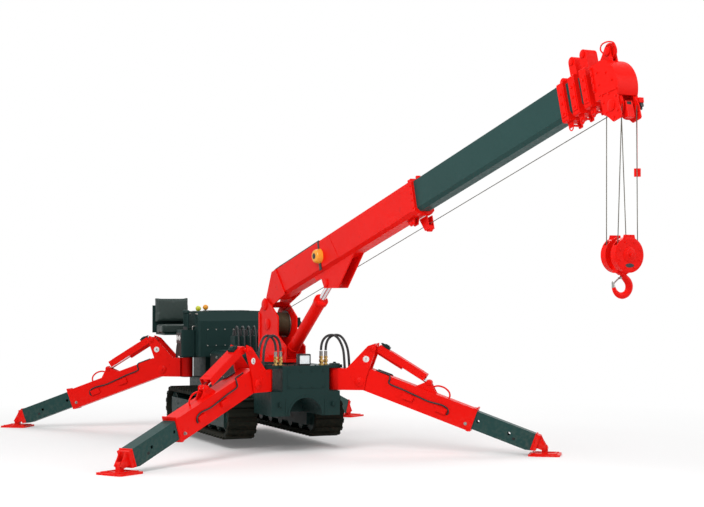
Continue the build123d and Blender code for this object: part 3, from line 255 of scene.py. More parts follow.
class Piece:
    """A mesh built from simple shapes in a local frame. A pair is the same shape on both sides of the middle."""

    def __init__(self, local):
        self.mesh = bmesh.new()
        self.local = local

    def block(self, low, high):
        made = bmesh.ops.create_cube(self.mesh, size=1.0)["verts"]
        for vert in made:
            share = vert.co + Vector((0.5, 0.5, 0.5))
            vert.co = Vector(low[i] + share[i] * (high[i] - low[i]) for i in range(3))
        return self

    def rings(self, loops):
        """Quads between vertex loops of the same count, with closed ends."""
        made = [[self.mesh.verts.new(p) for p in loop] for loop in loops]
        for first, second in zip(made, made[1:]):
            for i in range(len(first)):
                j = (i + 1) % len(first)
                self.mesh.faces.new((first[i], first[j], second[j], second[i]))
        self.mesh.faces.new(made[0][::-1])
        self.mesh.faces.new(made[-1])
        return self

    def prism(self, outline, low, high, along="y"):
        """An outline in the two other axes, in their order, made thick along one axis."""
        place = {"x": lambda a, b, t: (t, a, b), "y": lambda a, b, t: (a, t, b)}[along]
        return self.rings([[place(a, b, t) for a, b in outline] for t in (low, high)])

    def lathe(self, start, direction, profile, sides):
        """A turned shape: profile is (distance along the direction, radius)."""
        start, forward = Vector(start), Vector(direction).normalized()
        first = forward.orthogonal().normalized()
        second = forward.cross(first)
        return self.rings([
            ring(start + forward * along, first, second, max(radius, 1e-5), sides) for along, radius in profile])

    def rod(self, start, end, radius, sides=20):
        way = Vector(end) - Vector(start)
        return self.lathe(start, way, [(0, radius), (way.length, radius)], sides)

    def tube(self, points, radius, sides):
        """A bent rod or pipe through points that are close together."""
        points = [Vector(p) for p in points]
        loops, normal = [], None
        for i, point in enumerate(points):
            tangent = (points[min(i + 1, len(points) - 1)] - points[max(i - 1, 0)]).normalized()
            normal = tangent.orthogonal() if normal is None else normal - tangent * normal.dot(tangent)
            normal.normalize()
            loops.append(ring(point, normal, tangent.cross(normal), radius, sides))
        return self.rings(loops)

    def strand(self, start, end, radius, lay=0.055, lobes=6, step=0.009):
        """A straight wire rope: a lobed section that turns along its length."""
        start, end = Vector(start), Vector(end)
        forward = (end - start).normalized()
        first = forward.orthogonal().normalized()
        second = forward.cross(first)
        length = (end - start).length
        count = max(2, int(length / step))
        loops = []
        for i in range(count + 1):
            along = length * i / count
            loop = []
            for k in range(4 * lobes):
                angle = 2 * math.pi * k / (4 * lobes)
                reach = radius * (0.86 + 0.14 * math.cos(lobes * angle))
                angle += 2 * math.pi * along / lay
                loop.append(start + forward * along + (first * math.cos(angle) + second * math.sin(angle)) * reach)
            loops.append(loop)
        return self.rings(loops)

    def bolts(self, places, direction, radius, height):
        """Hexagon heads on round washers."""
        for place in places:
            self.lathe(place, direction, [(0, radius * 1.35), (height * 0.25, radius * 1.35)], 16)
            top = Vector(place) + Vector(direction).normalized() * height * 0.25
            self.lathe(top, direction, [(0, radius), (height * 0.6, radius), (height * 0.75, radius * 0.8)], 6)
        return self

    def pair_lathe(self, a, y, up, profile, sides):
        for side in SIDES:
            self.lathe((a, side * y, up), Y * side, profile, sides)

    def pair_prism(self, outline, inner, outer, along="y"):
        for side in SIDES:
            self.prism(outline, side * inner, side * outer, along)

    def pair_bolts(self, places, y, radius, height):
        for side in SIDES:
            self.bolts([(a, side * y, up) for a, up in places], Y * side, radius, height)

    def pair_tube(self, points, radius, sides):
        for side in SIDES:
            self.tube(curved([(a, side * y, up) for a, y, up in points]), radius, sides)

    def make(self, name, material, body=None, bevel=0.0015, slot=None):
        bmesh.ops.recalc_face_normals(self.mesh, faces=self.mesh.faces)
        data = bpy.data.meshes.new(name)
        self.mesh.to_mesh(data)
        self.mesh.free()
        data.transform(self.local)
        data.polygons.foreach_set("use_smooth", [True] * len(data.polygons))
        data.set_sharp_from_angle(angle=math.radians(38))
        data.materials.append(material)
        made = placed(name, data)
        if bevel:
            soften(made, bevel).harden_normals = True
        if body is not None:
            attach(made, body)
        return made


def curved(points, steps=8):
    """Points on a smooth line through the given ones."""
    points = [Vector(p) for p in points]
    ends = [points[0] * 2 - points[1]] + points + [points[-1] * 2 - points[-2]]
    line = []
    for p0, p1, p2, p3 in zip(ends, ends[1:], ends[2:], ends[3:]):
        for i in range(steps):
            t = i / steps
            line.append(0.5 * (2 * p1 + (p2 - p0) * t + (2 * p0 - 5 * p1 + 4 * p2 - p3) * t * t
                               + (3 * p1 - p0 - 3 * p2 + p3) * t ** 3))
    return line + [points[-1]]


def half_circle(y, z, radius, count=24):
    """Outline points on the upper half of a circle."""
    angles = [math.pi * i / count for i in range(count + 1)]
    return [(y + radius * math.cos(a), z + radius * math.sin(a)) for a in angles]


def mesh_of(curve):
    """The mesh that a curve or a text makes."""
    holder = placed(curve.name, curve)
    bpy.context.view_layer.update()
    made = bpy.data.meshes.new_from_object(holder)
    bpy.data.objects.remove(holder)
    bpy.data.curves.remove(curve)
    return made


# CAD nodes that stay, with softened edges
COLLARS = {"boom_2": 5.57, "boom_3": 5.72, "boom_4": 5.87}
SHOE_START = 1.9


def dress(node, material, bevel=0.003):
    shown = frame["nodes"][node]
    shown.data.materials.clear()
    shown.data.materials.append(material)
    flat = shown.modifiers.new("flat", "DECIMATE")
    flat.decimate_type, flat.angle_limit = "DISSOLVE", math.radians(1.0)
    if bevel:
        soften(shown, bevel)


for node in ("column", "luff_barrel", "boom_base", "boom_head", "hook_block", "overhoist_weight"):
    dress(node, RED)
dress("boom_5", GREEN, 0.004)
for node, collar in COLLARS.items():
    limit = (BOOM @ Vector((collar - 0.001, 0, 0))).dot(boom_x)
    dress(node, green_enamel(f"section_enamel_{node}", (boom_x, limit, RED_COLOUR)), 0.004)
for node in ("chassis_frame", "front_housing", "rear_housing", "machinery_deck", "engine_hood", "control_console"):
    dress(node, DARK, 0.006)
for node in ("left_track_frame", "right_track_frame", "seat_mount"):
    dress(node, DARK, 0.004)
for node in ("left_track", "right_track"):
    dress(node, RUBBER, 0.004)
dress("luff_rod", CHROME, 0.001)
dress("work_light", BLACK, 0.003)
dress("boom_sensor", ORANGE, 0.0)
for corner in CORNERS:
    for piece in ("knuckle", "arm", "lift_barrel", "foot_pad"):
        dress(f"{corner}_{piece}", RED)
    dress(f"{corner}_lift_rod", CHROME, 0.001)
    along = axis(f"{corner}_extend")
    limit = (ARM[corner] @ Vector((SHOE_START, 0, 0))).dot(along)
    dress(f"{corner}_inner_leg", green_enamel(f"leg_enamel_{corner}", (along, limit, RED_COLOUR)))

# Camera at the photograph's place
camera_data = bpy.data.cameras.new("camera")
camera_data.lens = 81.62
camera_data.sensor_width = 36.0
camera_data.sensor_fit = "HORIZONTAL"
camera_data.clip_end = 200.0
camera = placed("camera", camera_data)
view_yaw, view_pitch = math.radians(158.2), math.radians(1.25)
look = Vector((
    math.cos(view_pitch) * math.cos(view_yaw),
    math.cos(view_pitch) * math.sin(view_yaw),
    math.sin(view_pitch),
))
camera.location = slew_point + Vector((16.31, -5.675, 1.702))
camera.rotation_euler = look.to_track_quat("-Z", "Y").to_euler()
bpy.context.scene.camera = camera

# Hoses from the fittings on the housings to the knuckles
HOSE_RADIUS = 0.013
FITTING_Y, FITTING_PITCH, ROOF, FITTING_HEIGHT = 0.25, 0.052, 0.905, 0.15
BARREL = 0.06
KNUCKLE_TOP = 0.869
LANDING = KNUCKLE_TOP + HOSE_RADIUS / 8
FRONT_RISE, REAR_RISE = 0.16, 0.04


def hose_line(name, points):
    """The points of a smooth line with the route as its control points."""
    curve = bpy.data.curves.new(name, "CURVE")
    curve.dimensions = "3D"
    curve.resolution_u = 16
    spline = curve.splines.new("NURBS")
    spline.points.add(len(points) - 1)
    for place, point in zip(spline.points, points):
        place.co = (*point, 1.0)
    spline.order_u = 3
    spline.use_endpoint_u = True
    read = mesh_of(curve)
    line = [vert.co.copy() for vert in read.vertices]
    bpy.data.meshes.remove(read)
    return line


for corner in CORNERS:
    side = 1 if corner.endswith("left") else -1
    towards = 1 if corner.startswith("front") else -1
    rise = FRONT_RISE if towards > 0 else REAR_RISE
    pin_x = LEG[corner].translation.x
    first_x = pin_x if towards > 0 else pin_x + FITTING_PITCH
    top = ROOF + FITTING_HEIGHT
    fitting = Piece(Matrix.Identity(4))
    ends = Piece(Matrix.Identity(4))
    for lane in SIDES:
        start_y = FITTING_Y + lane * FITTING_PITCH / 2
        shares = (
            (0.0, 0.0, top), (0.0, 0.0, top + rise / 2), (0.3, 1.0, top + rise), (1.0, 2.5, top + rise),
            (1.5, 3.5, top + rise / 4), (1.7, 3.7, (top + LANDING) / 2), (1.7, 3.75, LANDING),
        )
        route = [
            Vector((first_x + towards * x_share * BARREL, side * (start_y + y_share * BARREL), height))
            for x_share, y_share, height in shares
        ]
        name = f"{corner}_hose_{'a' if lane < 0 else 'b'}"
        line = hose_line(name, route)
        hose = Piece(Matrix.Identity(4)).tube(line, HOSE_RADIUS, 16).make(name, HOSE, bevel=0)
        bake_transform(hose)
        if lane < 0:
            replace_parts(hose, f"{corner}_hoses")
        foot = Vector((first_x, side * start_y, ROOF))
        fitting.lathe(foot, Z, [(0, 0.026), (0.012, 0.026), (0.012, 0.016), (0.03, 0.016)], 24)
        fitting.lathe(foot + Z * 0.03, Z, [(0, 0.024), (0.026, 0.024)], 6)
        fitting.lathe(foot + Z * 0.056, Z, [(0, 0.015), (0.012, 0.015)], 20)
        fitting.lathe(foot + Z * 0.068, Z, [(0, 0.022), (0.022, 0.022)], 6)
        grip = [(0, 0.0165)]
        for band in range(4):
            low = band * 0.013
            grip += [(0.004 + low, 0.0175), (0.013 + low, 0.0175), (0.0145 + low, 0.016)]
        ends.lathe(foot + Z * 0.09, Z, grip, 24)
    fitting.make(f"{corner}_hose_fittings", BRASS, "chassis", 0.001)
    ends.make(f"{corner}_hose_ferrules", STEEL, "chassis", 0.0008)

# Ropes
ROPE_RADIUS = 0.0042
BLOCK_Z = 1.954
DRUM_X, DRUM_Z = -0.04, 1.315
ROPE_Y = 0.074


def rope_piece(name, start, end, node=None):
    """A stretch of rope between two bodies."""
    made = Piece(Matrix.Identity(4)).strand(start, end, ROPE_RADIUS).make(name, ROPE, bevel=0)
    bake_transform(made)
    if node:
        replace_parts(made, node)


falls = Piece(HANG)
for end in SIDES:
    for side in SIDES:
        falls.strand((end * 0.092, side * 0.07, sheave.z), (end * 0.066, side * 0.096, BLOCK_Z), ROPE_RADIUS)
falls = falls.make("falls_rope", ROPE, bevel=0)
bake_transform(falls)
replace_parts(falls, "rope_falls")
drum_local = BOOM.inverted() @ (COLUMN @ Vector((DRUM_X, 0, DRUM_Z)))
rope_up = drum_local.z + 0.128 + 0.0043


def on_rope(along):
    return BOOM @ Vector((along, ROPE_Y, rope_up))


stops = [on_rope(along) for along in (drum_local.x, 3.17, 5.612, 5.762, 5.912, 6.09)]
rope_piece("hoist_rope_run", stops[0], stops[1], "hoist_rope_base")
rope_piece("hoist_rope_run_2", stops[1], stops[2], "hoist_rope_extension")
for i in (2, 3, 4):
    rope_piece(f"hoist_rope_run_{i + 1}", stops[i], stops[i + 1])

# Winch drum with its turns of rope
TURNS, DRUM_WIDTH = 22, 0.178
spacing = DRUM_WIDTH / TURNS
profile = [(0.0, 0.06)]
for turn in range(TURNS):
    for step in range(5):
        profile.append((spacing * (turn + step / 5), 0.1225 + 0.0045 * math.sin(math.pi * step / 5)))
profile += [(DRUM_WIDTH, 0.06)]
drum = Piece(COLUMN).lathe((DRUM_X, -DRUM_WIDTH / 2, DRUM_Z), Y, profile, 72)
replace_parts(drum.make("drum_turns", WOUND, "winch_drum", 0), "winch_drum")
flanges = Piece(COLUMN)
flanges.pair_lathe(DRUM_X, DRUM_WIDTH / 2, DRUM_Z, [
    (0.0, 0.046), (0.0, 0.143), (0.002, 0.145), (0.006, 0.145), (0.008, 0.143), (0.008, 0.046)], 64)
flanges.make("drum_flanges", STEEL, "winch_drum", 0)

# Boom head: sheave rims, bolts, wire guards, lugs and pin caps
HEAD_SIDE = 0.098
SHEAVE_A, SHEAVE_UP = 6.19, -0.105
TOP_A, TOP_UP = 6.178, 0.345
rims = Piece(BOOM)
for rim_y in (-0.082, 0.058):
    rims.lathe((SHEAVE_A, rim_y, SHEAVE_UP), Y, [
        (0.0, 0.03), (0.0, 0.103), (0.002, 0.104), (0.006, 0.093), (0.012, 0.089), (0.018, 0.093), (0.022, 0.104),
        (0.024, 0.103), (0.024, 0.03)], 56)
rims.lathe((TOP_A, -0.012, TOP_UP), Y, [
    (0.0, 0.02), (0.0, 0.067), (0.002, 0.068), (0.007, 0.063), (0.017, 0.063), (0.022, 0.068), (0.024, 0.067),
    (0.024, 0.02)], 40)
rims.make("head_sheave_rims", RED, "boom_5", 0)
head = Piece(BOOM)
head.pair_lathe(SHEAVE_A, HEAD_SIDE, SHEAVE_UP, [(0, 0.046), (0.006, 0.046), (0.01, 0.04), (0.012, 0.012)], 32)
head.pair_lathe(TOP_A, 0.03, TOP_UP, [(0, 0.034), (0.01, 0.034), (0.013, 0.028)], 24)
head.pair_prism([(6.07, 0.014), (6.29, -0.01), (6.292, 0.002), (6.073, 0.026)], HEAD_SIDE, 0.104)
head.pair_prism([(6.02, 0.06), (6.042, 0.06), (6.042, 0.262), (6.02, 0.262)], HEAD_SIDE, 0.106)
head.prism([(6.236, -0.06), (6.292, -0.068), (6.286, -0.107), (6.234, -0.1)], HEAD_SIDE, 0.142)
head.block((6.236, -0.034, -0.226), (6.281, 0.034, -0.098))
head.make("head_fittings", RED, "boom_5")
head_bolts = Piece(BOOM)
head_bolts.pair_bolts([
    (6.11, 0.004), (6.185, -0.006), (6.106, -0.055), (6.262, -0.055), (6.122, -0.14), (6.2, -0.205),
    (6.256, -0.17), (6.09, 0.1), (6.09, 0.2), (6.19, 0.16), (6.25, 0.08)], HEAD_SIDE, 0.008, 0.007)
head_bolts.pair_bolts([(6.031, up) for up in (0.08, 0.14, 0.2, 0.25)], 0.106, 0.009, 0.008)
head_bolts.make("head_bolts", RED, "boom_5", 0)
guards = Piece(BOOM)
guards.tube(curved([
    (6.12, -0.024, 0.35), (6.096, -0.024, 0.394), (6.118, -0.02, 0.428), (6.18, -0.01, 0.426), (6.232, 0.0, 0.396),
    (6.252, 0.0, 0.34)]), 0.006, 8)
guards.pair_tube([
    (6.03, 0.0352, -0.01), (6.008, 0.0374, -0.07), (6.03, 0.044, -0.12), (6.094, 0.044, -0.14)], 0.005, 8)
guards.make("head_rope_guards", RED, "boom_5", 0)
# Painted shade: a thin near-black sheet on the head's end face stands in for the shade inside the rope opening
opening = Piece(BOOM).block((6.2805, -0.02, -0.128), (6.2818, 0.02, -0.104))
opening.make("head_opening_shade", PAINTED_SHADE, "boom_5", 0)
switch = Piece(BOOM).block((6.244, 0.11, -0.136), (6.28, 0.14, -0.1))
switch.lathe((6.262, 0.125, -0.136), -Z, [(0, 0.009), (0.016, 0.009), (0.022, 0.005)], 16)
switch.make("overhoist_switch", BLACK, "boom_5")

# Collars of the second to fourth section: bolts, top pins and the rope guide under them
for section, start in COLLARS.items():
    top = 0.31 if section == "boom_2" else 0.428
    middle = start + 0.042
    trim = Piece(BOOM)
    trim.pair_lathe(middle, 0.055, top, [(0, 0.026), (0.008, 0.026), (0.011, 0.02)], 24)
    plate = ((0.012, 0.02), (0.072, 0.02), (0.072, 0.24), (0.012, 0.24))
    guide = ((0.01, -0.014), (0.074, -0.014), (0.062, -0.066), (0.022, -0.066))
    trim.pair_prism([(start + a, up) for a, up in plate], 0.094, 0.101)
    trim.pair_prism([(start + a, up) for a, up in guide], 0.04, 0.054)
    trim.make(f"{section}_collar_trim", RED, section)
    collar_bolts = Piece(BOOM)
    collar_bolts.pair_bolts([(middle, up) for up in (0.05, 0.13, 0.21)], 0.101, 0.01, 0.008)
    collar_bolts.rod((middle, -0.06, -0.048), (middle, 0.06, -0.048), 0.009)
    collar_bolts.make(f"{section}_collar_bolts", RED, section, 0)
    loop = [(0.012, -0.044, -0.01), (0.02, -0.048, -0.072), (0.042, -0.048, -0.09), (0.066, -0.048, -0.072),
            (0.074, -0.044, -0.01)]
    guard = Piece(BOOM).tube(curved([(start + a, y, up) for a, y, up in loop]), 0.005, 8)
    guard.make(f"{section}_wire_guard", RED, section, 0)

# Boom base: doubler plates, sensor strap, tip lugs, pipes and pin caps
BASE_SIDE = 0.09
doublers = Piece(BOOM)
doublers.pair_prism([(0.43, 0.012), (0.46, 0.012), (0.322, 0.3), (0.292, 0.3)], BASE_SIDE, 0.103)
doublers.pair_prism([(1.12, 0.03), (1.7, 0.03), (1.56, 0.3), (1.18, 0.3)], BASE_SIDE, 0.094)
doublers.pair_prism([(2.98, 0.03), (3.19, 0.03), (3.19, 0.3), (3.06, 0.3)], BASE_SIDE, 0.094)
doublers.pair_prism([(2.96, -0.001), (3.1, -0.001), (3.075, -0.062), (3.01, -0.062)], 0.014, 0.026)
doublers.pair_lathe(1.32, 0.059, -0.128, [(0, 0.044), (0.008, 0.044), (0.012, 0.036)], 32)
doublers.prism([(3.2, 0.322), (3.24, 0.322), (3.232, 0.362), (3.208, 0.362)], -0.02, 0.02)
doublers.make("base_doublers", RED, "boom_base", 0.001)
base_bolts = Piece(BOOM).rod((3.042, -0.034, -0.04), (3.042, 0.034, -0.04), 0.011)
base_bolts.pair_bolts([(3.22, up) for up in (0.05, 0.12, 0.19, 0.26)], 0.103, 0.009, 0.008)
base_bolts.make("base_bolts", RED, "boom_base", 0)
pipes = Piece(BOOM)
for pipe_y in (0.02, 0.044):
    pipes.tube(curved([(a, pipe_y, up) for a, up in (
        (0.05, 0.15), (0.11, 0.225), (0.2, 0.316), (0.3, 0.322), (1.5, 0.322), (3.15, 0.322))]), 0.009, 10)
pipes.make("base_pipes", HOSE, "boom_base", 0)
clips = Piece(BOOM)
for place in (0.42, 0.95, 1.5, 2.05, 2.6, 3.1):
    clips.block((place, 0.004, 0.309), (place + 0.03, 0.06, 0.334))
clips.make("base_pipe_clips", STEEL, "boom_base")
strap = Piece(BOOM)
strap.prism([(1.29, 0.01), (1.336, 0.01), (1.336, 0.085), (1.295, 0.085)], -0.094, -0.102)
strap.prism([(1.304, 0.225), (1.338, 0.225), (1.342, 0.314), (1.31, 0.314)], -0.088, -0.097)
strap.tube(curved([
    (1.326, -0.086, 0.312), (1.29, -0.08, 0.318), (1.0, -0.08, 0.318), (0.6, -0.08, 0.318), (0.34, -0.08, 0.318),
    (0.24, -0.082, 0.3), (0.14, -0.084, 0.2), (0.06, -0.084, 0.11)]), 0.008, 8)
strap.lathe((1.32, -0.158, 0.155), -Y, [(0, 0.03), (0.004, 0.03), (0.006, 0.024)], 24)
strap.make("sensor_strap", BLACK, "boom_base")

# Column: pin caps, base bolts, winch motor, ribs and pipes
COLUMN_SIDE, COLUMN_FOOT = 0.119, 0.955
FOOT_X, FOOT_Z = -0.106, 1.524
column_trim = Piece(COLUMN)
column_trim.pair_lathe(FOOT_X, COLUMN_SIDE, FOOT_Z, [(0, 0.062), (0.01, 0.062), (0.018, 0.05), (0.02, 0.0)], 32)
column_trim.pair_lathe(0.3, COLUMN_SIDE, 1.032, [(0, 0.048), (0.012, 0.048), (0.018, 0.038), (0.019, 0.0)], 28)
column_trim.pair_prism([(-0.245, 0.956), (-0.205, 0.956), (-0.205, 1.42), (-0.245, 1.44)], COLUMN_SIDE, 0.131)
column_trim.pair_prism([(-0.1, 0.956), (0.12, 0.956), (0.1, 0.985), (-0.08, 0.985)], COLUMN_SIDE, 0.17)
column_trim.block((-0.247, -0.103, COLUMN_FOOT), (-0.235, 0.103, 1.18))
column_trim.make("column_trim", RED, "column")
motor = Piece(COLUMN)
motor.lathe((DRUM_X, COLUMN_SIDE, DRUM_Z), Y, [
    (0, 0.085), (0.016, 0.085), (0.016, 0.066), (0.085, 0.066), (0.092, 0.058), (0.092, 0.04), (0.15, 0.04),
    (0.156, 0.034)], 40)
motor.block((-0.075, 0.215, 1.34), (-0.005, 0.262, 1.385))
motor.make("winch_motor", DARK, "column")
hub = Piece(COLUMN)
hub.lathe((DRUM_X, -COLUMN_SIDE, DRUM_Z), -Y, [(0, 0.062), (0.008, 0.062), (0.015, 0.05), (0.0155, 0.0)], 32)
hub.make("winch_hub", RED, "column")
column_bolts = Piece(COLUMN)
column_bolts.bolts([(x, y, COLUMN_FOOT) for x, y in around(20, 0.248) if abs(y) > 0.15], Z, 0.012, 0.012)
column_bolts.bolts([(DRUM_X + x, 0.135, DRUM_Z + z) for x, z in around(6, 0.074)], Y, 0.008, 0.007)
column_bolts.bolts([(FOOT_X + x, -0.131, FOOT_Z + z) for x, z in around(6, 0.045)], -Y, 0.007, 0.006)
column_bolts.make("column_bolts", RED, "column", 0)
lines = Piece(COLUMN)
for line_y in (-0.06, -0.03, 0.0, 0.03):
    lines.tube(curved([
        (-0.258, line_y, 0.975), (-0.258, line_y, 1.15), (-0.262, line_y, 1.38), (-0.24, line_y, 1.5),
        (-0.196, line_y, 1.56)]), 0.01, 10)
lines.make("column_lines", HOSE, "column", 0)
line_clips = Piece(COLUMN)
for place in (1.03, 1.16, 1.33):
    line_clips.block((-0.272, -0.076, place), (-0.244, 0.046, place + 0.022))
line_clips.make("column_line_clips", STEEL, "column")

# Luffing cylinder: gland, ports and a pipe along the barrel
gland = Piece(LUFF)
gland.lathe((0.834, 0, 0), X, [
    (0, 0.07), (0.006, 0.074), (0.046, 0.074), (0.052, 0.07), (0.056, 0.05), (0.06, 0.04)], 40)
gland.lathe((0.055, 0, 0), X, [(0, 0.06), (0.004, 0.068), (0.026, 0.068), (0.03, 0.064)], 40)
for place in (0.1, 0.76):
    gland.block((place, -0.022, 0.05), (place + 0.052, 0.022, 0.086))
gland.make("luff_gland", RED, "luff_barrel")
port = Piece(LUFF).tube(curved([
    (0.78, 0, 0.088), (0.74, 0, 0.094), (0.64, 0, 0.078), (0.4, 0, 0.075), (0.2, 0, 0.078),
    (0.126, 0, 0.092)]), 0.008, 10)
port.make("luff_pipe", STEEL, "luff_barrel", 0)

# Hook block: hubs, bolts, top plates and a bare plate
COVER_X = 0.09
block = Piece(HANG)
for side in SIDES:
    block.lathe((side * COVER_X, 0, BLOCK_Z), X * side, [
        (0, 0.058), (0.004, 0.058), (0.009, 0.048), (0.009, 0.034), (0.014, 0.03), (0.016, 0.0)], 40)
    block.lathe((side * 0.084, 0, BLOCK_Z), X * side, [
        (0, 0.118), (0.0, 0.134), (0.004, 0.136), (0.007, 0.132), (0.007, 0.118)], 56)
block.pair_prism([(-0.058, 2.062), (0.058, 2.062), (0.048, 2.106), (-0.048, 2.106)], 0.078, COVER_X, "x")
block.lathe((0, 0, 1.826), -Z, [(0, 0.05), (0.01, 0.05), (0.014, 0.042), (0.02, 0.034), (0.024, 0.03)], 32)
block.make("block_covers", RED, "hook_block", 0.001)
block_bolts = Piece(HANG)
for side in SIDES:
    places = [(side * COVER_X, y, BLOCK_Z + z) for y, z in around(8, 0.103, 0.5)]
    block_bolts.bolts(places, X * side, 0.007, 0.006)
    block_bolts.bolts([(side * 0.106, 0, BLOCK_Z)], X * side, 0.012, 0.01)
block_bolts.make("block_bolts", RED, "hook_block", 0)
oval = [(0.04 * y, BLOCK_Z - 0.08 + 0.016 * z) for y, z in around(24, 1.0)]
Piece(HANG).prism(oval, 0.0895, 0.0915, "x").make("block_plate", BLACK, "hook_block", 0)

# Hook: a forged bowl that tapers to its worn tip, and a sprung latch; rows give Y, Z and half the depth
HOOK_Z = 1.722
HOOK_FLATNESS, WORN_FROM = 0.74, 67
BOWL = [(0.0, 0.112, 0.02), (0.0, 0.092, 0.021), (0.008, 0.074, 0.024), (0.03, 0.056, 0.028),
        (0.056, 0.028, 0.031), (0.066, -0.004, 0.032), (0.058, -0.038, 0.03), (0.034, -0.064, 0.028),
        (0.0, -0.075, 0.026), (-0.034, -0.07, 0.023), (-0.064, -0.048, 0.02), (-0.08, -0.018, 0.0165),
        (-0.086, 0.008, 0.0125), (-0.092, 0.024, 0.008), (-0.095, 0.032, 0.004)]
centre_line = curved([(0, y, HOOK_Z + z) for y, z, _ in BOWL], 6)
widths = [w.x for w in curved([(radius, 0, 0) for _, _, radius in BOWL], 6)]
loops = []
for i, point in enumerate(centre_line):
    tangent = (centre_line[min(i + 1, len(centre_line) - 1)] - centre_line[max(i - 1, 0)]).normalized()
    loops.append(ring(point, X * HOOK_FLATNESS, X.cross(tangent), widths[i], 20))
hook = Piece(HANG).rings(loops[:WORN_FROM + 1])
hook.lathe((0, 0, HOOK_Z + 0.106), Z, [(0, 0.02), (0.022, 0.02)], 24)
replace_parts(hook.make("hook_forging", RED, "hook", 0), "hook")
Piece(HANG).rings(loops[WORN_FROM:]).make("hook_tip", STEEL, "hook", 0)
latch = Piece(HANG)
latch.tube(curved([(0, -0.002, HOOK_Z + 0.074), (0, -0.034, HOOK_Z + 0.054), (0, -0.078, HOOK_Z + 0.02)]), 0.006, 10)
latch.block((-0.014, -0.03, HOOK_Z + 0.05), (0.014, -0.014, HOOK_Z + 0.064))
latch.make("hook_latch", STEEL, "hook", 0.001)

# Outriggers: pin caps, numbers, lines, handles, lock pins, leg flanges, valve blocks and pad ribs
RAISE_PIN, LIFT_PIN = (0.285, 0.73), (0.431, 1.078)
KNUCKLE_SIDE, ARM_SIDE, LEG_SIDE, COVER_SIDE = 0.107, 0.085, 0.071, 0.066
DISC_X, DISC_Z = 0.358, 0.968
EYE_A, EYE_UP = 0.677, 0.244
PAD_X, PAD_RIB = 2.195, 0.112
HANDLE = [(0.715, 0.0, 0.205), (0.77, 0.0, 0.244), (0.838, 0.0, 0.252), (0.895, 0.0, 0.232), (0.922, 0.0, 0.2),
          (0.926, 0.0, 0.164)]
ARM_LINE = [(0.12, 0.052, 0.174), (0.24, 0.058, 0.174), (0.275, 0.078, 0.17), (0.29, 0.093, 0.145),
            (0.305, 0.093, 0.096), (0.46, 0.093, 0.089), (0.6, 0.093, 0.079), (0.75, 0.093, 0.071),
            (0.885, 0.093, 0.085), (0.955, 0.093, 0.07), (0.976, 0.093, 0.036), (0.966, 0.088, 0.008)]


def number_plate(text, matrix, height):
    """A raised plain numeral as a mesh, its front along the matrix's Z."""
    curve = bpy.data.curves.new("numeral", "FONT")
    curve.body, curve.size, curve.extrude = text, height, 0.0006
    curve.align_x, curve.align_y = "CENTER", "CENTER"
    read = mesh_of(curve)
    read.transform(matrix)
    return read


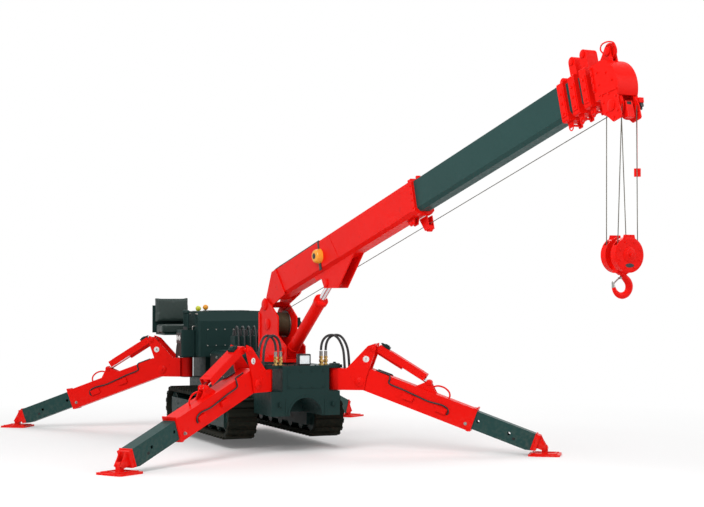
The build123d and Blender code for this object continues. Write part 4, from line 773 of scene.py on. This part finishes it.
for order, corner in enumerate(CORNERS):
    leg, arm, lift = LEG[corner], ARM[corner], LIFT[corner]

    def fit(piece, name, material, part, bevel=0):
        piece.make(f"{corner}_{name}", material, f"{corner}_{part}", bevel)

    caps = Piece(leg)
    caps.pair_lathe(
        RAISE_PIN[0], KNUCKLE_SIDE, RAISE_PIN[1], [(0, 0.05), (0.007, 0.05), (0.013, 0.042), (0.014, 0.0)], 32)
    caps.pair_lathe(
        LIFT_PIN[0], KNUCKLE_SIDE, LIFT_PIN[1], [(0, 0.034), (0.007, 0.034), (0.012, 0.027), (0.013, 0.0)], 28)
    caps.lathe((0, 0, KNUCKLE_TOP), Z, [(0, 0.056), (0.006, 0.056), (0.01, 0.05), (0.011, 0.0)], 40)
    fit(caps, "pin_caps", RED, "knuckle", 0.001)
    nuts = Piece(leg)
    nuts.pair_bolts([RAISE_PIN], 0.121, 0.012, 0.009)
    nuts.pair_bolts([LIFT_PIN], 0.12, 0.012, 0.009)
    nuts.pair_bolts([(0.2, 0.79), (0.23, 0.87)], KNUCKLE_SIDE, 0.008, 0.007)
    fit(nuts, "knuckle_bolts", RED, "knuckle")
    discs = Piece(leg)
    discs.pair_lathe(DISC_X, KNUCKLE_SIDE, DISC_Z, [(0, 0.033), (0.0012, 0.033), (0.0018, 0.032), (0.0018, 0.0)], 40)
    fit(discs, "number_discs", WHITE, "knuckle")
    numerals = Piece(leg)
    for side in SIDES:
        facing = Matrix(((-side, 0, 0), (0, 0, side), (0, 1, 0))).to_4x4()
        facing.translation = (DISC_X, side * (KNUCKLE_SIDE + 0.002), DISC_Z)
        numeral = number_plate(str(order + 1), facing, 0.048)
        numerals.mesh.from_mesh(numeral)
        bpy.data.meshes.remove(numeral)
    fit(numerals, "numerals", BLACK, "knuckle")

    welds = Piece(arm)
    for place in (0.472, 0.84):
        outline = [(place, 0.004), (place + 0.112, 0.004), (place + 0.12, 0.062), (place + 0.006, 0.062)]
        welds.pair_prism(outline, ARM_SIDE, 0.111)
    welds.pair_prism([(1.14, -0.048), (1.24, -0.048), (1.24, 0.04), (1.165, 0.04)], ARM_SIDE, 0.089)
    welds.pair_lathe(EYE_A, 0.041, EYE_UP, [(0, 0.03), (0.007, 0.03), (0.011, 0.024), (0.012, 0.0)], 28)
    welds.pair_bolts([(EYE_A, EYE_UP)], 0.053, 0.01, 0.008)
    welds.block((1.236, -ARM_SIDE, 0.16), (1.25, ARM_SIDE, 0.19))
    welds.tube(curved(HANDLE), 0.009, 12)
    fit(welds, "arm_plates", RED, "arm", 0.0015)
    eye = Piece(arm).lathe((EYE_A, -0.0235, EYE_UP), Y, [
        (0, 0.0), (0, 0.032), (0.0015, 0.0335), (0.0455, 0.0335), (0.047, 0.032), (0.047, 0.0)], 40)
    fit(eye, "lift_eye", RED, "lift_rod")
    runs = Piece(arm)
    runs.pair_tube(ARM_LINE, 0.008, 10)
    fit(runs, "arm_lines", HOSE, "arm")
    steel = Piece(arm)
    steel.pair_lathe(1.18, 0.089, -0.006, [
        (0, 0.017), (0.005, 0.017), (0.005, 0.011), (0.022, 0.011), (0.025, 0.008)], 24)
    fit(steel, "arm_fittings", STEEL, "arm")

    # Painted shade: thin near-black sheets on the inner leg's sides stand in for the shade inside its slots
    slots = Piece(arm)
    for side in SIDES:
        slots.block((1.676, side * LEG_SIDE, 0.012), (1.708, side * (LEG_SIDE + 0.0008), 0.037))
    fit(slots, "leg_slot_shade", PAINTED_SHADE, "inner_leg")
    flange = Piece(arm).block((1.886, -0.079, -0.017), (1.9, 0.079, 0.1605))
    fit(flange, "leg_flange", RED, "inner_leg", 0.002)

    valve = Piece(lift)
    valve.block((0.062, -0.034, 0.066), (0.14, 0.034, 0.094))
    valve.block((0.08, -0.022, 0.094), (0.122, 0.022, 0.102))
    valve.lathe((0.062, 0.014, 0.08), -X, [(0, 0.012), (0.02, 0.012), (0.02, 0.008), (0.032, 0.008)], 6)
    fit(valve, "valve_block", DARK, "lift_barrel", 0.002)
    cover = Piece(lift).block((0.17, -0.058, 0.0655), (0.56, 0.058, 0.069))
    cover.pair_bolts([(0.075, 0.03), (0.58, 0.03)], COVER_SIDE, 0.009, 0.008)
    fit(cover, "cover_plate", RED, "lift_barrel", 0.001)

    pad = Piece(leg)
    for side in SIDES:
        pad.block((PAD_X - 0.135, side * 0.1, 0.018), (PAD_X + 0.135, side * PAD_RIB, 0.03))
        middle = PAD_X + side * PAD_RIB
        pad.block((middle - 0.006, -0.1, 0.018), (middle + 0.006, 0.1, 0.03))
    fit(pad, "pad_ribs", RED, "foot_pad", 0.0015)

# Housings: nose panel, arch edge, lobe caps, lamp glass and a filler cap
NOSE_X, LOBE_Y = 0.845, 0.375
LOBES = [(end, side * LOBE_Y) for end in (0.69, -2.25) for side in SIDES]
nose = Piece(MACHINE)
nose.prism(half_circle(0, 0.4, 0.196) + half_circle(0, 0.4, 0.176)[::-1], NOSE_X, 0.851, "x")
for side in SIDES:
    nose.block((NOSE_X, side * 0.215 - 0.01, 0.4), (0.851, side * 0.215 + 0.01, 0.56))
nose.pair_prism([(NOSE_X, 0.48), (0.878, 0.492), (0.878, 0.524), (NOSE_X, 0.536)], 0.281, 0.299)
nose.block((NOSE_X, -0.205, 0.672), (0.85, 0.205, 0.868))
for x, y in LOBES:
    nose.lathe((x, y, ROOF), Z, [(0, 0.058), (0.008, 0.058), (0.014, 0.05), (0.015, 0.0)], 40)
nose.make("housing_plates", DARK, "chassis", 0.002)
housing_bolts = Piece(MACHINE)
housing_bolts.bolts([(0.85, y, z) for y in (-0.185, -0.062, 0.062, 0.185) for z in (0.69, 0.85)], X, 0.009, 0.008)
housing_bolts.bolts([(x, y, 0.92) for x, y in LOBES], Z, 0.016, 0.014)
roof_places = [(x, y, ROOF) for x in (0.36, 0.6, 0.815, -1.95, -2.39) for y in (-0.115, 0.115)]
housing_bolts.bolts(roof_places, Z, 0.009, 0.008)
housing_bolts.make("housing_bolts", DARK, "chassis", 0)
glass = Piece(MACHINE)
glass.prism([(-0.056, 0.922), (0.056, 0.922), (0.056, 1.01), (-0.056, 1.01)], 0.802, 0.8055, "x")
glass.make("work_light_glass", GLASS, "chassis", 0.001)
bezel = Piece(MACHINE)
for side in SIDES:
    bezel.block((0.8, side * 0.055, 0.914), (0.812, side * 0.065, 1.02))
for low, high in ((0.914, 0.923), (1.009, 1.02)):
    bezel.block((0.8, -0.065, low), (0.812, 0.065, high))
for fin in range(6):
    bezel.block((0.706, -0.05 + fin * 0.018, 0.93), (0.719, -0.044 + fin * 0.018, 1.008))
bezel.make("work_light_bezel", BLACK, "chassis", 0.001)
knob = Piece(MACHINE)
knob.lathe((0.795, 0.195, ROOF), Z, [
    (0, 0.024), (0.01, 0.024), (0.01, 0.014), (0.026, 0.014), (0.03, 0.021), (0.046, 0.023), (0.054, 0.018),
    (0.056, 0.0)], 28)
knob.make("filler_cap", BRASS, "chassis", 0.001)

# Hood and deck: panels, louvres, a valve bank, latches, hinges and grab handles
HOOD_SIDE, DECK_SIDE, DECK_TOP, HOOD_TOP, HOOD_BACK = 0.424, 0.304, 0.985, 1.43, -2.125
VALVES, VALVE_PITCH = 6, 0.068
panels = Piece(MACHINE)
panels.pair_prism([(-2.09, 0.94), (-1.665, 0.94), (-1.665, 1.285), (-1.77, 1.395), (-2.09, 1.395)], 0.42, HOOD_SIDE)
for side in SIDES:
    for slat in range(9):
        low = 1.02 + slat * 0.03
        slat_outline = [(side * HOOD_SIDE, low), (side * 0.433, low), (side * HOOD_SIDE, low + 0.018)]
        panels.prism(slat_outline, -2.05, -1.85, "x")
    panels.block((-1.555, side * 0.3, 0.68), (-1.07, side * DECK_SIDE, 0.95))
    panels.block((-1.045, side * 0.3, 0.68), (-0.565, side * DECK_SIDE, 0.95))
panels.block((-2.129, -0.385, 0.94), (HOOD_BACK, 0.385, 1.395))
panels.block((-2.085, -0.37, HOOD_TOP), (-1.76, 0.37, 1.434))
for slat in range(8):
    panels.block((-2.05 + slat * 0.034, -0.25, 1.434), (-2.032 + slat * 0.034, 0.25, 1.44))
panels.block((-1.55, -0.27, DECK_TOP), (-1.075, 0.27, 0.989))
panels.block((-1.05, -0.27, DECK_TOP), (-0.57, 0.27, 0.989))
panels.block((-1.631, -0.33, 1.02), (-1.626, 0.12, 1.235))
panels.block((-1.02, -0.25, DECK_TOP), (-0.83, 0.18, 1.055))
for valve in range(VALVES):
    panels.block((-1.005, -0.232 + valve * VALVE_PITCH, 1.055), (-0.845, -0.182 + valve * VALVE_PITCH, 1.165))
panels.make("hood_panels", DARK, "chassis", 0.0015)
valves = Piece(MACHINE)
for valve in range(VALVES):
    y = -0.207 + valve * VALVE_PITCH
    valves.lathe((-0.96, y, 1.165), Z, [(0, 0.016), (0.03, 0.016), (0.034, 0.012), (0.07, 0.012)], 16)
    valves.lathe((-0.89, y, 1.165), Z, [(0, 0.013), (0.02, 0.013)], 6)
    valves.tube(curved([
        (-0.89, y, 1.18), (-0.886, y, 1.24), (-0.85, y, 1.27), (-0.8, y, 1.23), (-0.775, y, 1.12),
        (-0.77, y, 0.986)]), 0.01, 10)
valves.make("deck_valves", BLACK, "chassis", 0.001, slot="hose_rubber")
latches = Piece(MACHINE)
latches.pair_tube([(-1.79, y, z) for y, z in (
    (0.424, 1.15), (0.448, 1.156), (0.452, 1.18), (0.452, 1.23), (0.448, 1.254), (0.424, 1.26))], 0.007, 10)
for side in SIDES:
    for place in (-2.04, -1.76):
        latches.rod((place, side * HOOD_SIDE, 1.402), (place + 0.07, side * HOOD_SIDE, 1.402), 0.008)
for place in (-1.31, -0.815):
    for side in SIDES:
        latches.block((place, side * DECK_SIDE, 0.895), (place + 0.045, side * 0.312, 0.925))
    latches.pair_lathe(place + 0.022, 0.312, 0.91, [(0, 0.01), (0.006, 0.01), (0.008, 0.006)], 16)
deck_places = [(x, z) for x in (-1.535, -1.09, -1.025, -0.585) for z in (0.7, 0.93)]
latches.pair_bolts(deck_places, DECK_SIDE, 0.007, 0.006)
latches.bolts([(-1.626, y, z) for y in (-0.315, -0.21, -0.105, 0.0, 0.105) for z in (1.034, 1.221)], X, 0.006, 0.005)
latches.make("hood_latches", STEEL, "chassis", 0.001)

# Controls: panel, lever boots and two dials
console_x, console_y, console_top = -1.8775, -0.505, 1.215
panel_y = console_y - 0.089
boots = Piece(MACHINE)
for lever in range(4):
    boots.lathe((console_x - 0.069 + lever * 0.046, console_y, console_top), Z, [
        (0, 0.02), (0.006, 0.02), (0.012, 0.016), (0.016, 0.017), (0.024, 0.012), (0.028, 0.013), (0.036, 0.008)], 20)
boots.block((console_x - 0.1, panel_y, 1.06), (console_x + 0.1, console_y - 0.085, 1.18))
boots.make("lever_boots", BLACK, "chassis", 0.001)
dials = Piece(MACHINE)
for step in (-0.045, 0.045):
    dials.lathe((console_x + step, panel_y, 1.12), -Y, [
        (0, 0.03), (0.006, 0.03), (0.008, 0.027), (0.005, 0.026), (0.005, 0.0)], 32)
dials.make("console_dials", WHITE, "chassis", 0)

# Travel levers on a bracket at the hood's back
LEVER_X, LEVER_FOOT, KNOB_RADIUS = -2.163, 1.23, 0.033
levers = Piece(MACHINE)
levers.block((LEVER_X - 0.018, -0.31, LEVER_FOOT - 0.03), (HOOD_BACK, -0.14, LEVER_FOOT))
for name, colour, lever_y, knob_z in (("left", ORANGE, -0.182, 1.474), ("right", YELLOW, -0.272, 1.46)):
    shank = [(0, 0.018), (0.01, 0.018), (0.03, 0.01), (knob_z - LEVER_FOOT, 0.008)]
    levers.lathe((LEVER_X, lever_y, LEVER_FOOT), Z, shank, 20)
    angles = [math.radians(a) for a in range(0, 181, 12)]
    turn = [(KNOB_RADIUS * (1 - math.cos(a)), KNOB_RADIUS * math.sin(a)) for a in angles]
    ball = Piece(MACHINE).lathe((LEVER_X, lever_y, knob_z - KNOB_RADIUS), Z, turn, 32)
    ball.make(f"{name}_lever_knob", colour, "chassis", 0)
levers.make("travel_levers", BLACK, "chassis", 0.001)

# Tracks: wheel faces, toothed drive wheels, roller caps, beam plates and bolts
FRONT_WHEEL, REAR_WHEEL, WHEEL_Z = 0.045, -2.015, 0.325
TEETH = 22
for side, name in ((1, "left"), (-1, "right")):
    wheels = Piece(MACHINE)
    face = side * 0.579
    dish = [(0, 0.158), (0.016, 0.158), (0.02, 0.152), (0.02, 0.138), (0.008, 0.126), (0.008, 0.07), (0.026, 0.062),
            (0.03, 0.056), (0.03, 0.03), (0.036, 0.026), (0.037, 0.0)]
    for place in (FRONT_WHEEL, REAR_WHEEL):
        wheels.lathe((place, face, WHEEL_Z), Y * side, dish, 48)
    teeth = []
    for step in range(TEETH):
        for share, reach in ((0.0, 0.166), (0.3, 0.166), (0.42, 0.184), (0.58, 0.184), (0.7, 0.166)):
            angle = 2 * math.pi * (step + share) / TEETH
            teeth.append((REAR_WHEEL + reach * math.cos(angle), WHEEL_Z + reach * math.sin(angle)))
    wheels.prism(teeth, side * 0.47, side * 0.49)
    for step in range(5):
        place = -0.985 + (step - 2) * 2.06 / 6
        wheels.lathe((place, face, 0.228), Y * side, [
            (0, 0.06), (0.012, 0.06), (0.016, 0.054), (0.016, 0.034), (0.024, 0.028), (0.025, 0.0)], 32)
    wheels.block((-1.78, side * 0.635, 0.29), (-0.19, side * 0.639, 0.38))
    wheels.make(f"{name}_track_wheels", DARK, "chassis", 0.001)
    bolts = Piece(MACHINE)
    for place in (FRONT_WHEEL, REAR_WHEEL):
        bolts.bolts([(place + x, side * 0.587, WHEEL_Z + z) for x, z in around(6, 0.098)], Y * side, 0.009, 0.008)
    beam_places = [(x, side * 0.639, z) for x in (-1.74, -1.25, -0.72, -0.23) for z in (0.308, 0.362)]
    bolts.bolts(beam_places, Y * side, 0.01, 0.008)
    bolts.make(f"{name}_track_bolts", DARK, "chassis", 0)

# Seat pads, swelled by pressure from two slightly smaller blocks
VOXEL, PRESSURE, CLOTH_FRAMES = 0.008, 4.0, 20
SWELL_CAP = 0.012


def swollen(name, low, high):
    """A closed pad that pressure rounds, with no point moved further than the cap."""
    made = Piece(MACHINE).block(low, high).make(name, VINYL, bevel=0)
    bpy.context.view_layer.objects.active = made
    remesh = made.modifiers.new("remesh", "REMESH")
    remesh.mode, remesh.voxel_size = "VOXEL", VOXEL
    graph = bpy.context.evaluated_depsgraph_get()
    data = bpy.data.meshes.new_from_object(made.evaluated_get(graph))
    made.modifiers.clear()
    made.data = data
    start = [vert.co.copy() for vert in data.vertices]
    cloth = made.modifiers.new("cloth", "CLOTH")
    cloth.settings.quality = 5
    cloth.settings.use_pressure = True
    cloth.settings.uniform_pressure_force = PRESSURE
    cloth.settings.effector_weights.gravity = 0.0
    for moment in range(1, CLOTH_FRAMES + 1):
        bpy.context.scene.frame_set(moment)
    graph = bpy.context.evaluated_depsgraph_get()
    moved = bpy.data.meshes.new_from_object(made.evaluated_get(graph))
    places = [vert.co.copy() for vert in moved.vertices]
    bpy.data.meshes.remove(moved)
    made.modifiers.clear()
    bpy.context.scene.frame_set(1)
    for vert, old, new in zip(data.vertices, start, places):
        step = new - old
        vert.co = old + step * min(1.0, SWELL_CAP / max(step.length, 1e-9))
    data.materials.clear()
    data.materials.append(VINYL)
    data.polygons.foreach_set("use_smooth", [True] * len(data.polygons))
    smooth = made.modifiers.new("smooth", "SUBSURF")
    smooth.levels = smooth.render_levels = 1
    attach(made, "chassis")
    return made


cushion = swollen("seat_cushion", (-2.5, -0.708, 1.176), (-2.228, -0.292, 1.258))
swollen("seat_backrest", (-2.578, -0.708, 1.29), (-2.507, -0.292, 1.588))
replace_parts(cushion, "seat_pads")


# Floor, light and world
def seen_directly(tree):
    """One for rays from the camera, a mirror or a lens, nought for the light that falls on things."""
    path = add(tree, "ShaderNodeLightPath").outputs
    first = maths(tree, "MAXIMUM", path["Is Camera Ray"], path["Is Glossy Ray"])
    return maths(tree, "MAXIMUM", first, path["Is Transmission Ray"])


PURE_WHITE = (1, 1, 1, 1)
FLOOR_SPAN = 60.0
FLOOR_LIFT = 0.1
WHITE_FROM, WHITE_BY = 4.5, 8.5
floor_mesh = bpy.data.meshes.new("floor")
floor_corners = [(-1, -1), (1, -1), (1, 1), (-1, 1)]
floor_mesh.from_pydata([(x * FLOOR_SPAN, y * FLOOR_SPAN, 0) for x, y in floor_corners], [], [(0, 1, 2, 3)])
floor = placed("floor", floor_mesh)
floor_material, floor_tree, floor_shader = tree_of("pale_floor")
looked_at = seen_directly(floor_tree)
wire(floor_tree, floor_shader, [
    ("Base Color", (0.82, 0.82, 0.82, 1)), ("Roughness", 0.9), ("Specular IOR Level", 0.0),
    ("Emission Color", PURE_WHITE), ("Emission Strength", maths(floor_tree, "MULTIPLY", looked_at, FLOOR_LIFT))])
place = add(floor_tree, "ShaderNodeTexCoord").outputs["Object"]
away = add(floor_tree, "ShaderNodeVectorMath", [(0, place)], operation="LENGTH").outputs["Value"]
white = add(floor_tree, "ShaderNodeEmission", [("Color", PURE_WHITE)])
share = maths(floor_tree, "MULTIPLY", ranged(floor_tree, away, WHITE_FROM, WHITE_BY), looked_at)
blend = add(floor_tree, "ShaderNodeMixShader", [(0, share), (1, floor_shader.outputs[0]), (2, white.outputs[0])])
floor_tree.links.new(blend.outputs[0], floor_tree.nodes["Material Output"].inputs["Surface"])
floor_mesh.materials.append(floor_material)

AIM = (0, 0, 1.2)


def lamp(name, place, size, power):
    data = bpy.data.lights.new(name, "AREA")
    data.shape, data.size, data.energy = "DISK", size, power
    made = placed(name, data)
    made.location = place
    made.rotation_euler = (Vector(AIM) - Vector(place)).to_track_quat("-Z", "Y").to_euler()


lamp("key", (9.0, -8.0, 11.0), 7.0, 1330.0)
lamp("fill", (9.0, 9.0, 6.0), 8.0, 380.0)
lamp("back", (-10.0, 5.0, 9.0), 7.0, 460.0)
WORLD_LIGHT, WORLD_SEEN = 0.6, 1.0
world = bpy.data.worlds.new("studio")
world.use_nodes = True
bpy.context.scene.world = world
sky = world.node_tree
strength = ranged(sky, seen_directly(sky), 0.0, 1.0, WORLD_LIGHT, WORLD_SEEN)
wire(sky, sky.nodes["Background"], [("Color", PURE_WHITE), ("Strength", strength)])
bpy.context.scene.view_settings.view_transform = "Standard"
